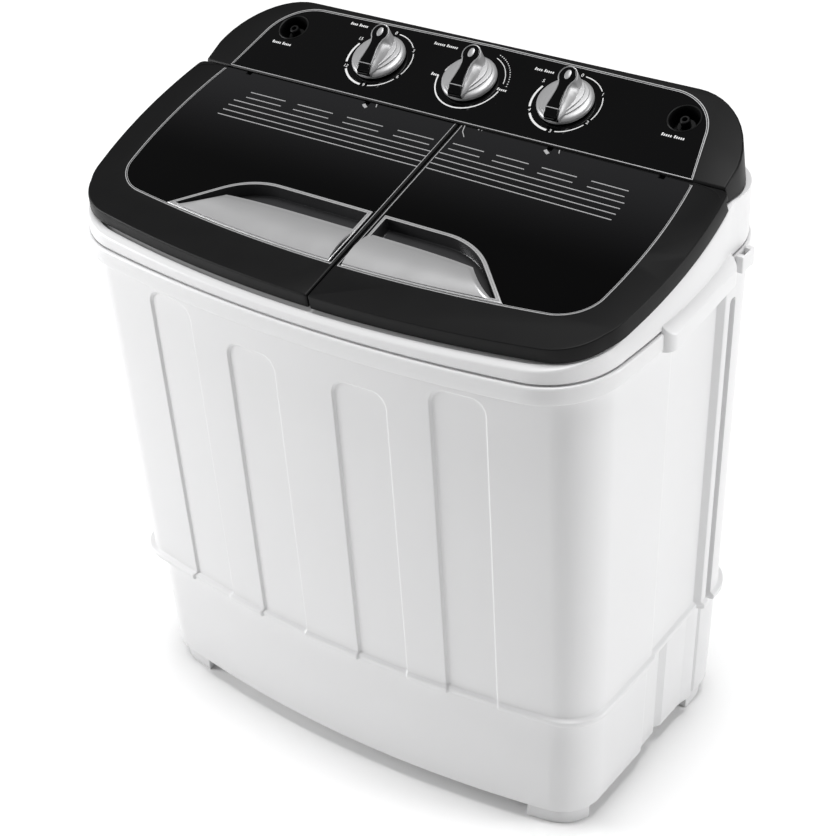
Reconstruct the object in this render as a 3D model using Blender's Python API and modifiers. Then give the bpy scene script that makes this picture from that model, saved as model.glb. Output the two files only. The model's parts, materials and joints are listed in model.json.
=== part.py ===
"""Compact twin tub washer: a wash tub on the left and a spin tub on the right under two hinged lids.

Metres, +Z up, the front faces -Y, and the origin is on the floor under the middle of the machine.
"""

import math

import bmesh
import bpy
from mathutils import Matrix, Vector

# ---- Driving dimensions ----
WIDTH = 0.596  # over the carry grips
DEPTH = 0.360  # from the collar's front to the end of the drain spout
GAP = 0.0003  # left between neighbouring pieces that touch
WALL = 0.003

# Top section: two sloping lids that meet the tilted console along one line
LID_REAR_Y = 0.067
LID_REAR_Z = 0.613
LID_SLOPE = math.radians(14.6)
PANEL_TILT = math.radians(25.3)
SEAM_X = 0.0175  # the joint between the two lids
SEAM_GAP = 0.0016
LID_DEPTH = 0.014
DECK_DROP = 0.018  # the deck lies this far under the lids' top

# Collar and cabinet
FRONT_BULGE = 0.028
SIDE_TAPER = 0.0065  # the sides lean in by this much towards the front
COLLAR_HALF = 0.2905
COLLAR_FRONT = -DEPTH / 2
COLLAR_REAR = 0.158
COLLAR_FOOT_Z = 0.506  # the collar's lower edge, at the front
COLLAR_RISE = 0.085  # how fast that edge rises towards the rear
BAND_HEIGHT = 0.018
BODY_TOP_Z = 0.535
BODY_FOOT_Z = 0.146
BASE_FOOT_Z = 0.021

# Tubs and their drives
WASH_X, WASH_Y = -0.130, -0.019
SPIN_X, SPIN_Y = 0.143, -0.030
TUB_RIM_Z = 0.519
WASH_FLOOR_Z = 0.236
SPIN_FLOOR_Z = 0.206
SPIN_TUB_RADIUS = 0.110
BASKET_RADIUS = 0.092
SHAFT_RADIUS = 0.007
BELT_Z = 0.176
PULLEY_RADIUS = 0.060
MOTOR_PULLEY_RADIUS = 0.012
MOTOR_X, MOTOR_Y = -0.026, 0.030

# Console
KNOB_PITCH = 0.1023
KNOB_V = 0.0485
INLET_X, INLET_V, INLET_RADIUS = 0.2140, 0.0620, 0.016

WHITE = ("white_plastic", (0.86, 0.86, 0.86, 1), 0.35, 0.0)
BLACK = ("black_plastic", (0.02, 0.02, 0.02, 1), 0.45, 0.0)
GLOSS = ("gloss_black", (0.008, 0.008, 0.008, 1), 0.08, 0.0)
SILVER = ("silver_plastic", (0.62, 0.62, 0.62, 1), 0.3, 0.6)
STEEL = ("steel", (0.60, 0.60, 0.62, 1), 0.3, 1.0)
TUB = ("tub_plastic", (0.80, 0.84, 0.88, 1), 0.4, 0.0)
RUBBER = ("rubber", (0.03, 0.03, 0.03, 1), 0.7, 0.0)
MOTOR = ("motor_paint", (0.10, 0.11, 0.12, 1), 0.5, 0.3)

UP = Vector((0, 0, 1))


# ---- Scene, materials and small tools ----
def clear_scene():
    for obj in list(bpy.data.objects):
        bpy.data.objects.remove(obj, do_unlink=True)


def new_collection(name):
    collection = bpy.data.collections.new(name)
    bpy.context.scene.collection.children.link(collection)
    return collection


def material(spec):
    name, colour, roughness, metallic = spec
    found = bpy.data.materials.get(name)
    if found:
        return found
    made = bpy.data.materials.new(name)
    made.use_nodes = True
    shader = made.node_tree.nodes["Principled BSDF"]
    shader.inputs["Base Color"].default_value = colour
    shader.inputs["Roughness"].default_value = roughness
    shader.inputs["Metallic"].default_value = metallic
    return made


def link(name, data, finish=None, parent=None):
    """A new object: a part if it has a finish, and a hidden cutter if it has none."""
    obj = bpy.data.objects.new(name, data)
    (PARTS if finish else CUTTERS).objects.link(obj)
    if finish:
        data.materials.append(material(finish))
    else:
        obj.hide_render = True
        obj.display_type = "WIRE"
    if parent:
        obj.parent = parent
    return obj


def frame_empty(name, location, tilt):
    """An empty whose local XY plane leans back by tilt about the X axis."""
    empty = bpy.data.objects.new(name, None)
    PARTS.objects.link(empty)
    empty.location = location
    empty.rotation_euler = (tilt, 0, 0)
    return empty


def mesh_from(name, bm):
    bmesh.ops.recalc_face_normals(bm, faces=bm.faces)
    mesh = bpy.data.meshes.new(name)
    bm.to_mesh(mesh)
    bm.free()
    return mesh


def cylinder(name, radius, low, high, finish=None, at=(0, 0),
parent=None, top_radius=None, segments=24):
    """A cylinder or cone about the local Z axis, from low to high."""
    bm = bmesh.new()
    bmesh.ops.create_cone(
        bm, cap_ends=True, segments=segments, radius1=radius,
        radius2=radius if top_radius is None else top_radius, depth=high - low,
    )
    bmesh.ops.translate(bm, vec=(at[0], at[1], (low + high) / 2), verts=bm.verts)
    return link(name, mesh_from(name, bm), finish, parent)


def box(name, low, high, finish=None, parent=None):
    bm = bmesh.new()
    bmesh.ops.create_cube(bm, size=1)
    low, high = Vector(low), Vector(high)
    bmesh.ops.scale(bm, vec=high - low, verts=bm.verts)
    bmesh.ops.translate(bm, vec=(low + high) / 2, verts=bm.verts)
    return link(name, mesh_from(name, bm), finish, parent)


def prism(name, outline, low, high, finish=None, parent=None):
    """The flat outline, extruded from low to high."""
    bm = bmesh.new()
    face = bm.faces.new([bm.verts.new((x, y, low)) for x, y in outline])
    grown = bmesh.ops.extrude_face_region(bm, geom=[face])["geom"]
    moved = [item for item in grown if isinstance(item, bmesh.types.BMVert)]
    bmesh.ops.translate(bm, vec=(0, 0, high - low), verts=moved)
    return link(name, mesh_from(name, bm), finish, parent)


def sliced(obj, point, normal):
    """Takes away what lies on the normal's side of a plane, and closes the cut."""
    bm = bmesh.new()
    bm.from_mesh(obj.data)
    geometry = bm.verts[:] + bm.edges[:] + bm.faces[:]
    cut = bmesh.ops.bisect_plane(bm, geom=geometry, plane_co=point, plane_no=normal, clear_outer=True)
    edges = [item for item in cut["geom_cut"] if isinstance(item, bmesh.types.BMEdge)]
    bmesh.ops.contextual_create(bm, geom=edges)
    bmesh.ops.recalc_face_normals(bm, faces=bm.faces)
    bm.to_mesh(obj.data)
    bm.free()
    return obj


def turned(name, profile, finish=None, at=(0, 0, 0), parent=None, steps=24):
    """A solid of revolution about Z: a closed profile of (radius, z) that runs down its outer side."""
    bm = bmesh.new()
    verts = [bm.verts.new((radius, 0, z)) for radius, z in profile]
    for first, second in zip(verts, verts[1:] + verts[:1]):
        if first.co.x or second.co.x:
            bm.edges.new((first, second))
    mesh = bpy.data.meshes.new(name)
    bm.to_mesh(mesh)
    bm.free()
    obj = link(name, mesh, finish, parent)
    obj.location = at
    screw = obj.modifiers.new("turn", "SCREW")
    screw.steps = screw.render_steps = steps
    screw.use_merge_vertices = True
    screw.merge_threshold = 0.00001
    return obj


def solidify(obj, thickness=WALL):
    modifier = obj.modifiers.new("wall", "SOLIDIFY")
    modifier.thickness = thickness
    modifier.offset = -1
    modifier.use_even_offset = True
    return obj


def boolean(obj, operation, *others):
    for other in others:
        modifier = obj.modifiers.new(operation.lower(), "BOOLEAN")
        modifier.operation = operation
        modifier.object = other
    return obj


def cut(obj, *others):
    return boolean(obj, "DIFFERENCE", *others)


def join(obj, *others):
    return boolean(obj, "UNION", *others)


def tube(name, points, radius, finish, resolution=2):
    """A round rod along a list of points."""
    curve = bpy.data.curves.new(name, "CURVE")
    curve.dimensions = "3D"
    curve.bevel_depth = radius
    curve.bevel_resolution = resolution
    curve.use_fill_caps = True
    spline = curve.splines.new("POLY")
    spline.points.add(len(points) - 1)
    for target, point in zip(spline.points, points):
        target.co = (*point, 1)
    return link(name, curve, finish)


# ---- Plan outlines ----
def arc(centre, radius, start, end, count):
    angles = [math.radians(start + (end - start) * i / count) for i in range(count + 1)]
    return [(centre[0] + radius * math.cos(a), centre[1] + radius * math.sin(a)) for a in angles]


def rounded(x_low, y_low, x_high, y_high, radius, count=5):
    """A rectangle with round corners, counter-clockwise from above."""
    corners = (
        (x_high - radius, y_low + radius, -90),
        (x_high - radius, y_high - radius, 0),
        (x_low + radius, y_high - radius, 90),
        (x_low + radius, y_low + radius, 180),
    )
    return [p for x, y, start in corners for p in arc((x, y), radius, start, start + 90, count)]


def plan(half, front, rear, corner, rear_corner, bulge=FRONT_BULGE, side=(), inset=0.0):
    """The machine's plan outline: a bowed front, round corners and, between them, any side steps.

    half is the half width at the rear, side lists (y, offset) along the right side, and inset
    shrinks the whole outline.
    """
    half, front, rear = half - inset, front + inset, rear - inset
    corner, rear_corner = max(corner - inset, 0.002), max(rear_corner - inset, 0.002)
    near = half - SIDE_TAPER
    slope = math.atan(2 * bulge * (near - corner) / near**2)
    start = math.degrees(slope) - 90
    arc_x = near - corner + corner * math.cos(math.radians(start))
    arc_y = front + bulge * (arc_x / near) ** 2
    centre_y = arc_y - corner * math.sin(math.radians(start))
    right = [(arc_x * i / 6, front + bulge * (arc_x * i / 6 / near) ** 2) for i in range(1, 6)]
    right += arc((near - corner, centre_y), corner, start, 0, 6)
    lean = SIDE_TAPER / (rear - rear_corner - centre_y)
    right += [(near + lean * (y - centre_y) + offset, y) for y, offset in side]
    right += arc((half - rear_corner, rear - rear_corner), rear_corner, 0, 90, 5)
    left = [(-x, y) for x, y in reversed(right)]
    return [(0, front)] + right + left


# The side's mouldings, going back: a shallow bay, a narrow rib, a groove and the rear pilaster
SIDE_STEPS = (
    (-0.012, 0.0),
    (-0.003, -0.004),
    (0.0800, -0.007),
    (0.0835, 0.000),
    (0.0900, 0.000),
    (0.0925, -0.009),
    (0.1010, -0.009),
    (0.1040, 0.000),
)
PLAIN_SIDE = tuple((y, 0.0) for y, _ in SIDE_STEPS)


def bowed(outline, swell, peak, reach):
    """Swells an outline's sides by swell at y = peak, fading to nothing at reach before and behind it."""
    half = max(x for x, _ in outline)
    return [(x * (1 + swell / half * max(0.0, 1 - ((y - peak) / reach) ** 2)), y) for x, y in outline]


def body_plan(z, inset=0.0, flare=0.0):
    """The tapered cabinet's outline at height z."""
    share = (z - BODY_FOOT_Z) / (BODY_TOP_Z - BODY_FOOT_Z)
    half = 0.2745 + 0.0090 * share + flare
    front = -0.1550 - 0.0115 * share - flare
    rear = 0.1530 + 0.0015 * share + flare
    return plan(half, front, rear, 0.042 + 0.006 * share, 0.046, side=SIDE_STEPS, inset=inset)


def base_plan(z, inset=0.0, side=SIDE_STEPS):
    share = (z - BASE_FOOT_Z) / (BODY_FOOT_Z - BASE_FOOT_Z)
    half = 0.2655 + 0.0040 * share
    front = -0.1470 - 0.0025 * share
    rear = 0.1490 + 0.0015 * share
    return plan(half, front, rear, 0.044, 0.036, side=side, inset=inset)


COLLAR_SIDE = tuple((-0.075 + 0.025 * i, 0.0) for i in range(7))


def collar_plan(inset=0.0):
    outline = plan(
        COLLAR_HALF, COLLAR_FRONT, COLLAR_REAR, 0.074, 0.054, side=COLLAR_SIDE, inset=inset
    )
    return bowed(outline, 0.0055, -0.010, 0.085)


# ---- Cabinet ----
def ring(bm, outline, height):
    """One loop of vertices; height is a number or a function of y."""
    level = height if callable(height) else lambda y: height
    return [bm.verts.new((x, y, level(y))) for x, y in outline]


def lofted(name, rings, finish, floor=False):
    """An open skin through a list of (outline, height), with a floor if asked, made into a wall."""
    bm = bmesh.new()
    loops = [ring(bm, outline, height) for outline, height in rings]
    for lower, upper in zip(loops, loops[1:]):
        for i in range(len(lower)):
            j = (i + 1) % len(lower)
            bm.faces.new((lower[i], lower[j], upper[j], upper[i]))
    if floor:
        bm.faces.new(loops[0][::-1])
    mesh = bpy.data.meshes.new(name)
    bm.to_mesh(mesh)
    bm.free()
    return solidify(link(name, mesh, finish))


def collar_foot(y):
    return COLLAR_FOOT_Z + COLLAR_RISE * (y - COLLAR_FRONT)


def build_base():
    lip = base_plan(BODY_FOOT_Z, inset=0.0145, side=PLAIN_SIDE)
    rings = [
        (base_plan(BASE_FOOT_Z), BASE_FOOT_Z),
        (base_plan(BODY_FOOT_Z), BODY_FOOT_Z - 0.0040),
        (lip, BODY_FOOT_Z - 0.0035),
        (lip, BODY_FOOT_Z + 0.020),
    ]
    base = lofted("base", rings, WHITE, floor=True)
    spout_hole = cylinder("spout_hole", 0.0145, 0.10, 0.20, segments=20)
    cord_hole = cylinder("cord_hole", 0.0085, 0.10, 0.20, segments=16)
    cut(base, placed_along_y(spout_hole, DRAIN_X, DRAIN_Z), placed_along_y(cord_hole, CORD_X, CORD_Z))
    for side, x_sign in (("left", -1), ("right", 1)):
        for end, y_sign in (("front", -1), ("rear", 1)):
            build_foot(f"foot_{end}_{side}", x_sign, y_sign)


def build_foot(name, x_sign, y_sign):
    """A corner block that follows the base's outline, a little way in."""
    foot = prism(name, base_plan(BASE_FOOT_Z, inset=0.006), 0, BASE_FOOT_Z - GAP, WHITE)
    reach_x, reach_y = 0.200, 0.092
    near_x, near_y = x_sign * reach_x, y_sign * reach_y
    far_x, far_y = x_sign * 0.3, y_sign * 0.3
    corner = box(
        f"{name}_corner",
        (min(near_x, far_x), min(near_y, far_y), -0.01),
        (max(near_x, far_x), max(near_y, far_y), 0.05),
    )
    return boolean(foot, "INTERSECT", corner)


def build_cabinet():
    rings = [
        (body_plan(BODY_FOOT_Z, flare=0.004), BODY_FOOT_Z),
        (body_plan(BODY_FOOT_Z, flare=0.004), BODY_FOOT_Z + 0.006),
        (body_plan(BODY_FOOT_Z), BODY_FOOT_Z + 0.009),
        (body_plan(BODY_TOP_Z), lambda y: collar_foot(y) + 0.010),
    ]
    cabinet = lofted("cabinet_shell", rings, WHITE)
    access = box("access_hole", (-COVER_HALF + 0.018, 0.10, COVER_LOW + 0.018),
                 (COVER_HALF - 0.018, 0.20, COVER_HIGH - 0.018))
    screw_holes = [
        placed_along_y(cylinder(f"screw_hole_{i}", 0.0022, 0.10, 0.20, segments=8), x, z)
        for i, (x, z) in enumerate(COVER_SCREWS)
    ]
    cut(cabinet, access, *screw_holes)


def placed_along_y(obj, x, z):
    """Turns an object made about Z so that its axis runs along +Y at this x and z."""
    obj.matrix_world = Matrix.Translation((x, 0, z)) @ Matrix.Rotation(-math.pi / 2, 4, "X")
    return obj


COVER_HALF = 0.155
COVER_LOW, COVER_HIGH = 0.180, 0.430
COVER_Y = 0.1548
COVER_THICK = 0.004
COVER_SCREWS = [(x, z) for x in (-0.147, 0.147) for z in (COVER_LOW + 0.012, COVER_HIGH - 0.012)]
DRAIN_X, DRAIN_Z = 0.030, 0.070
CORD_X, CORD_Z = -0.170, 0.090


def build_rear_cover():
    """The louvred plate over the motors, on the cabinet's back, and its screws."""
    outline = rounded(-COVER_HALF, COVER_LOW, COVER_HALF, COVER_HIGH, 0.010, 3)
    cover = prism("rear_cover", outline, 0, COVER_THICK, WHITE)
    upright = Matrix.Rotation(math.pi / 2, 4, "X")
    cover.matrix_world = Matrix.Translation((0, COVER_Y + COVER_THICK, 0)) @ upright
    louvres = [
        box(f"louvre_{row}_{column}", (-0.100 + column * 0.080, 0.10, 0.215 + row * 0.014),
            (-0.060 + column * 0.080, 0.20, 0.220 + row * 0.014))
        for row in range(4) for column in range(3)
    ]
    cut(cover, *louvres)
    for i, (x, z) in enumerate(COVER_SCREWS):
        hole = placed_along_y(cylinder(f"cover_hole_{i}", 0.0022, 0.10, 0.20, segments=8), x, z)
        cut(cover, hole)
        head_y = COVER_Y + COVER_THICK + GAP
        screw = turned(
            f"rear_cover_screw_{i + 1}",
            [(0, head_y + 0.0026), (0.0030, head_y + 0.0022), (0.0040, head_y),
             (0.0017, head_y), (0.0017, head_y - 0.016), (0, head_y - 0.018)],
            STEEL, steps=10,
        )
        placed_along_y(screw, x, z)


# ---- Collar, deck and grips ----
def lid_normal():
    return Vector((0, -math.sin(LID_SLOPE), math.cos(LID_SLOPE)))


def below_lids(drop):
    """A point on the plane that lies this far under the lids' top, square to it."""
    return Vector((0, LID_REAR_Y, LID_REAR_Z)) - lid_normal() * drop


def under_lids(obj, drop):
    return sliced(obj, below_lids(drop), lid_normal())


WASH_OPENING = (-0.240, -0.122, -0.020, 0.044)
SPIN_OPENING_RADIUS = 0.0865
CONSOLE_FLOOR_Z = 0.598
HINGE_S, HINGE_Z = -0.0064, -0.0045  # the lids' axis in the lid plane's own frame
LUG_X = (-0.225, -0.084, 0.114, 0.225)
LUG_WIDTH = 0.005


def build_top_frame():
    """The white collar with its two bands, the sloping deck, the two openings and the hinge lugs."""
    tall = 0.70
    frame = prism("top_frame", collar_plan(), 0.45, tall, WHITE)
    sliced(frame, (0, COLLAR_FRONT, COLLAR_FOOT_Z), (0, COLLAR_RISE, -1))
    sliced(frame, (0, COLLAR_FRONT, COLLAR_FOOT_Z + BAND_HEIGHT), (0, -COLLAR_RISE, 1))
    upper = prism("collar_upper_band", collar_plan(0.003), 0.45, tall)
    sliced(upper, (0, COLLAR_FRONT, COLLAR_FOOT_Z + 0.006), (0, COLLAR_RISE, -1))
    sliced(upper, (0, 0, CONSOLE_FLOOR_Z), UP)
    under_lids(upper, LID_DEPTH + 0.001)
    band_hollow = prism("band_hollow", collar_plan(0.0028), 0.40, tall)
    sliced(band_hollow, (0, COLLAR_FRONT, COLLAR_FOOT_Z + BAND_HEIGHT - 0.004), (0, -COLLAR_RISE, 1))
    hollow = prism("collar_hollow", collar_plan(0.0060), 0.40, tall)
    sliced(hollow, (0, 0, CONSOLE_FLOOR_Z - WALL), UP)
    under_lids(hollow, DECK_DROP + WALL)
    lid_well = prism("lid_well", collar_plan(0.010), 0.40, tall)
    sliced(lid_well, (0, 0.0745, 0), (0, 1, 0))
    sliced(lid_well, below_lids(DECK_DROP), -lid_normal())
    console_bay = box("console_bay", (-0.235, 0.084, 0.56), (0.235, 0.150, 0.62))
    wash_skirt = prism("wash_skirt", wash_opening(WALL), TUB_RIM_Z + GAP, tall)
    spin_at = (SPIN_X, SPIN_Y)
    spin_skirt = cylinder(
        "spin_skirt", SPIN_OPENING_RADIUS + WALL, TUB_RIM_Z + GAP, tall, at=spin_at, segments=40
    )
    for skirt in (wash_skirt, spin_skirt):
        under_lids(skirt, DECK_DROP + 0.001)
    wash_hole = prism("wash_hole", wash_opening(0), 0.45, tall)
    spin_hole = cylinder("spin_hole", SPIN_OPENING_RADIUS, 0.45, tall, at=spin_at, segments=40)
    join(frame, upper, *carry_grips())
    cut(frame, band_hollow, hollow, lid_well, console_bay)
    join(frame, wash_skirt, spin_skirt)
    cut(frame, wash_hole, spin_hole)
    for i, x in enumerate(LUG_X):
        join(frame, hinge_lug(f"hinge_lug_{i}", x))
    pins = cylinder("lug_bores", 0.0018, -0.27, 0.27, parent=LID_FRAME, segments=12)
    pins.matrix_local = Matrix.Translation((0, HINGE_S, HINGE_Z)) @ Matrix.Rotation(math.pi / 2, 4, "Y")
    cut(frame, pins)


def wash_opening(margin):
    x_low, y_low, x_high, y_high = WASH_OPENING
    return rounded(x_low - margin, y_low - margin, x_high + margin, y_high + margin, 0.040 + margin)


def hinge_lug(name, x):
    """A round-topped tab on the deck that carries a lid's pin."""
    radius = 0.0032
    outline = [(HINGE_S - radius, -DECK_DROP - 0.002), (HINGE_S + radius, -DECK_DROP - 0.002)]
    outline += arc((HINGE_S, HINGE_Z), radius, 0, 180, 6)
    lug = prism(name, outline, -LUG_WIDTH / 2, LUG_WIDTH / 2, parent=LID_FRAME)
    sideways = Matrix(((0, 0, 1, 0), (1, 0, 0, 0), (0, 1, 0, 0), (0, 0, 0, 1)))
    lug.matrix_local = Matrix.Translation((x, 0, 0)) @ sideways
    return lug


def carry_grips():
    """The flared ledges at the sides by which the machine is lifted, moulded with the collar."""
    inner, outer, front, rear, corner = COLLAR_HALF - 0.0065, WIDTH / 2, -0.048, 0.074, 0.010
    outline = [(inner, front)] + arc((outer - corner, front + corner), corner, -90, 0, 5)
    outline += arc((outer - corner, rear - corner), corner, 0, 90, 5) + [(inner, rear)]
    edge_z = COLLAR_FOOT_Z + 0.0145
    grips = []
    for side, sign in (("left", -1), ("right", 1)):
        grip = prism(f"carry_grip_{side}", [(sign * x, y) for x, y in outline], 0.45, 0.60)
        sliced(grip, (0, COLLAR_FRONT, COLLAR_FOOT_Z - 0.0015), (0, COLLAR_RISE, -1))
        flare = Vector((sign * 0.9, -COLLAR_RISE, 1)).normalized()
        grips.append(sliced(grip, (sign * outer, COLLAR_FRONT, edge_z), flare))
    return grips


def build_hose_hook():
    """A clip on the right of the collar's back, which holds the drain hose's end up."""
    block = prism("hose_hook", rounded(0.2909, 0.078, 0.2979, 0.101, 0.0015, 2), 0.531, 0.547, WHITE)
    slot = box("hook_slot", (0.2880, 0.0835, 0.5365), (0.2962, 0.0955, 0.56))
    cut(block, slot)


# ---- Console ----
def console_plan(inset=0.0):
    """The console in plan: the lids lie in front of it, and it narrows towards the rear."""
    outline = plan(0.2868, -0.170, 0.1560, 0.060, 0.066, inset=inset)
    return [(x * (1 - 0.45 * max(0.0, y - 0.060)), y) for x, y in outline]


def fascia_outline(inset=0.0):
    """The gloss panel in the panel's own frame: its sides lean in and its top corners are round."""
    low, radius = 0.0050, 0.0500
    foot = 0.2509 - inset
    right = [(foot, low + inset)] + arc((0.1922, 0.0405), radius - inset, 12, 90, 7)
    left = [(-x, v) for x, v in reversed(right)]
    return right + [(0, 0.0935 - inset)] + left


def build_console():
    tall = 0.75
    housing = prism("console_housing", console_plan(), CONSOLE_FLOOR_Z + GAP, tall, BLACK)
    hollow = prism("console_hollow", console_plan(WALL), 0.55, tall)
    normal = Vector((0, -math.sin(PANEL_TILT), math.cos(PANEL_TILT)))
    origin = Vector((0, LID_REAR_Y, LID_REAR_Z))
    sliced(housing, origin, normal)
    sliced(housing, (0, LID_REAR_Y + 0.0006, 0), (0, -1, 0))
    sliced(hollow, origin - normal * 0.006, normal)
    sliced(hollow, (0, LID_REAR_Y + 0.0120, 0), (0, -1, 0))
    seat = prism("fascia_seat", fascia_outline(), -0.0030, 0.02, parent=PANEL_FRAME)
    window = prism("fascia_window", fascia_outline(0.006), -0.02, 0.02, parent=PANEL_FRAME)
    cove = cylinder("hinge_cove", 0.0075, -0.30, 0.30, parent=LID_FRAME, segments=32)
    cove.matrix_local = Matrix.Translation((0, HINGE_S, HINGE_Z)) @ Matrix.Rotation(math.pi / 2, 4, "Y")
    inlets = [
        cylinder(
            f"inlet_hole_{i}", INLET_RADIUS, -0.0300, 0.01, at=(x, INLET_V),
            parent=PANEL_FRAME, segments=16
        )
        for i, x in enumerate((-INLET_X, INLET_X))
    ]
    cut(housing, hollow, seat, window, cove, *inlets)
    fascia = prism("console_fascia", fascia_outline(GAP), -0.0030 + GAP, 0.0002, GLOSS, PANEL_FRAME)
    stems = [
        cylinder(f"stem_hole_{i}", 0.0060, -0.01, 0.01, at=(x, KNOB_V), parent=PANEL_FRAME, segments=16)
        for i, x in enumerate((-KNOB_PITCH, 0, KNOB_PITCH))
    ]
    cut(fascia, *stems, *inlets)
    for x, knob, works in (
        (-KNOB_PITCH, "wash_timer_knob", "wash_timer"),
        (0, "selector_knob", "selector_switch"),
        (KNOB_PITCH, "spin_timer_knob", "spin_timer"),
    ):
        build_knob(knob, x)
        build_timer(works, x)
    for name, x in (("inlet_left", -INLET_X), ("inlet_right", INLET_X)):
        build_inlet(name, x)


KNOB_RADIUS = 0.0265
GRIP_TOP_Z = 0.0178  # the grip's sloping top, over the knob's axis
GRIP_RISE = Vector((0, -0.22, 1))
POINTER_THICK = 0.0018


def build_knob(name, x):
    """A turned silver dial with a sloping grip across it, and the black pointer that caps the grip."""
    dial = turned(
        f"{name}_dial",
        [(0, 0.0080), (0.0225, 0.0068), (KNOB_RADIUS, 0.0050), (KNOB_RADIUS, 0.0015), (0.0055, 0.0015),
         (0.0055, -0.0100), (0, -0.0100)],
        SILVER, at=(x, KNOB_V, 0), parent=PANEL_FRAME, steps=24,
    )
    grip = prism(f"{name}_grip", grip_outline(), 0.004, 0.030, parent=PANEL_FRAME)
    sliced(grip, (0, 0, GRIP_TOP_Z), GRIP_RISE)
    sliced(grip, (0, -0.0195, 0.0135), (0, -0.0090, 0.0065))
    grip.location = (x, KNOB_V, 0)
    join(dial, grip)
    pointer = prism(f"{name}_pointer", pointer_outline(), 0.004, 0.030, BLACK, PANEL_FRAME)
    sliced(pointer, (0, 0, GRIP_TOP_Z + GAP), -GRIP_RISE)
    sliced(pointer, (0, 0, GRIP_TOP_Z + GAP + POINTER_THICK), GRIP_RISE)
    pointer.location = (x, KNOB_V, 0)


def grip_outline():
    """The grip from above: a square foot at the rim, swollen flanks and a round head."""
    right = [(0.0078, -0.0258), (0.0104, -0.0140), (0.0104, 0.0030)]
    right += arc((0, 0.0135), 0.0092, 0, 90, 5)
    return right + [(-x, y) for x, y in reversed(right[:-1])]


def pointer_outline():
    """A teardrop: a square foot, a waist and a round head."""
    right = [(0.0064, -0.0185), (0.0052, -0.0090), (0.0044, 0.0010)]
    right += arc((0, 0.0135), 0.0082, -38, 90, 7)
    return right + [(-x, y) for x, y in reversed(right[:-1])]


def build_timer(name, x):
    """The clockwork or switch behind the fascia, with the bore that its knob's stem turns in."""
    outline = rounded(x - 0.022, KNOB_V - 0.020, x + 0.022, KNOB_V + 0.020, 0.004, 2)
    body = prism(name, outline, -0.0300, -0.0034, TUB, PANEL_FRAME)
    bore = cylinder(f"{name}_bore", 0.0060, -0.0110, 0.01, at=(x, KNOB_V),
    parent=PANEL_FRAME, segments=16)
    cut(body, bore)


def build_inlet(name, x):
    """The cup that the fill hose pushes into, with its spigot."""
    outer = INLET_RADIUS - GAP
    profile = [
        (0.0045, 0.0), (0.0045, -0.0100), (0.0080, -0.0100), (0.0080, -0.0165),
        (outer - 0.0022, -0.0165),
        (outer - 0.0010, 0.0008), (outer, 0.0008), (outer, -0.0190), (0.0060, -0.0190),
        (0.0060, -0.0240),
        (0.0030, -0.0240), (0.0030, 0.0),
    ]
    turned(name, profile, BLACK, at=(x, INLET_V, 0), parent=PANEL_FRAME, steps=16)


# ---- Lids ----
LID_HALF = 0.2868
LID_FRONT_S = -0.2463
LID_REAR_S = -0.0012
WINDOW_HALF = 0.2540
WINDOW_FRONT_S = -0.2045
WINDOW_REAR_S = -0.0045
WINDOW_BULGE = 0.0205
SEAT_DEPTH = 0.0030  # how deep the windows lie in the frames
LIP = 0.004  # what the window rests on all round
EAR_REACH = LUG_WIDTH / 2 + 0.0006
HANDLE_HALF = 0.1800
HANDLE_BACK_S = -0.1335
HANDLE_EDGE_S = -0.1600
HANDLE_CORNER = 0.075
LID_SIDE = tuple((-0.150 + 0.015 * i, 0.0) for i in range(10))


def lid_outline(inset=0.0):
    outline = plan(
        LID_HALF, LID_FRONT_S, LID_REAR_S, 0.066, 0.006, bulge=0.029, side=LID_SIDE, inset=inset
    )
    return bowed(outline, 0.0085, -0.080, 0.080)


def window_outline(inset=0.0):
    outline = plan(
        WINDOW_HALF, WINDOW_FRONT_S, WINDOW_REAR_S, 0.036, 0.004, bulge=WINDOW_BULGE, side=LID_SIDE[1:],
        inset=inset,
    )
    return bowed(outline, 0.0095, -0.100, 0.100)


def handle_outline(inset=0.0):
    """The D-shaped trim over both lids: a bowed front edge, slanted ends and a straight back."""
    half = HANDLE_HALF - 2.14 * inset  # the slanted ends draw in faster than the sides
    right = []
    for i in range(7):
        x = half * i / 6
        right.append((x, WINDOW_FRONT_S + 0.0012 + inset + 0.35 * x**2))
    right += arc((0.0905, HANDLE_BACK_S - HANDLE_CORNER), HANDLE_CORNER - inset, 45, 90, 6)
    return right + [(-x, s) for x, s in reversed(right[1:])]


def half_prism(name, outline, low, high, sign, margin, finish=None):
    """A prism in the lid plane, kept on one side of the seam and this far from it."""
    whole = prism(name, outline, low, high, finish, LID_FRAME)
    return sliced(whole, (SEAM_X + sign * margin, 0, 0), (-sign, 0, 0))


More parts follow.
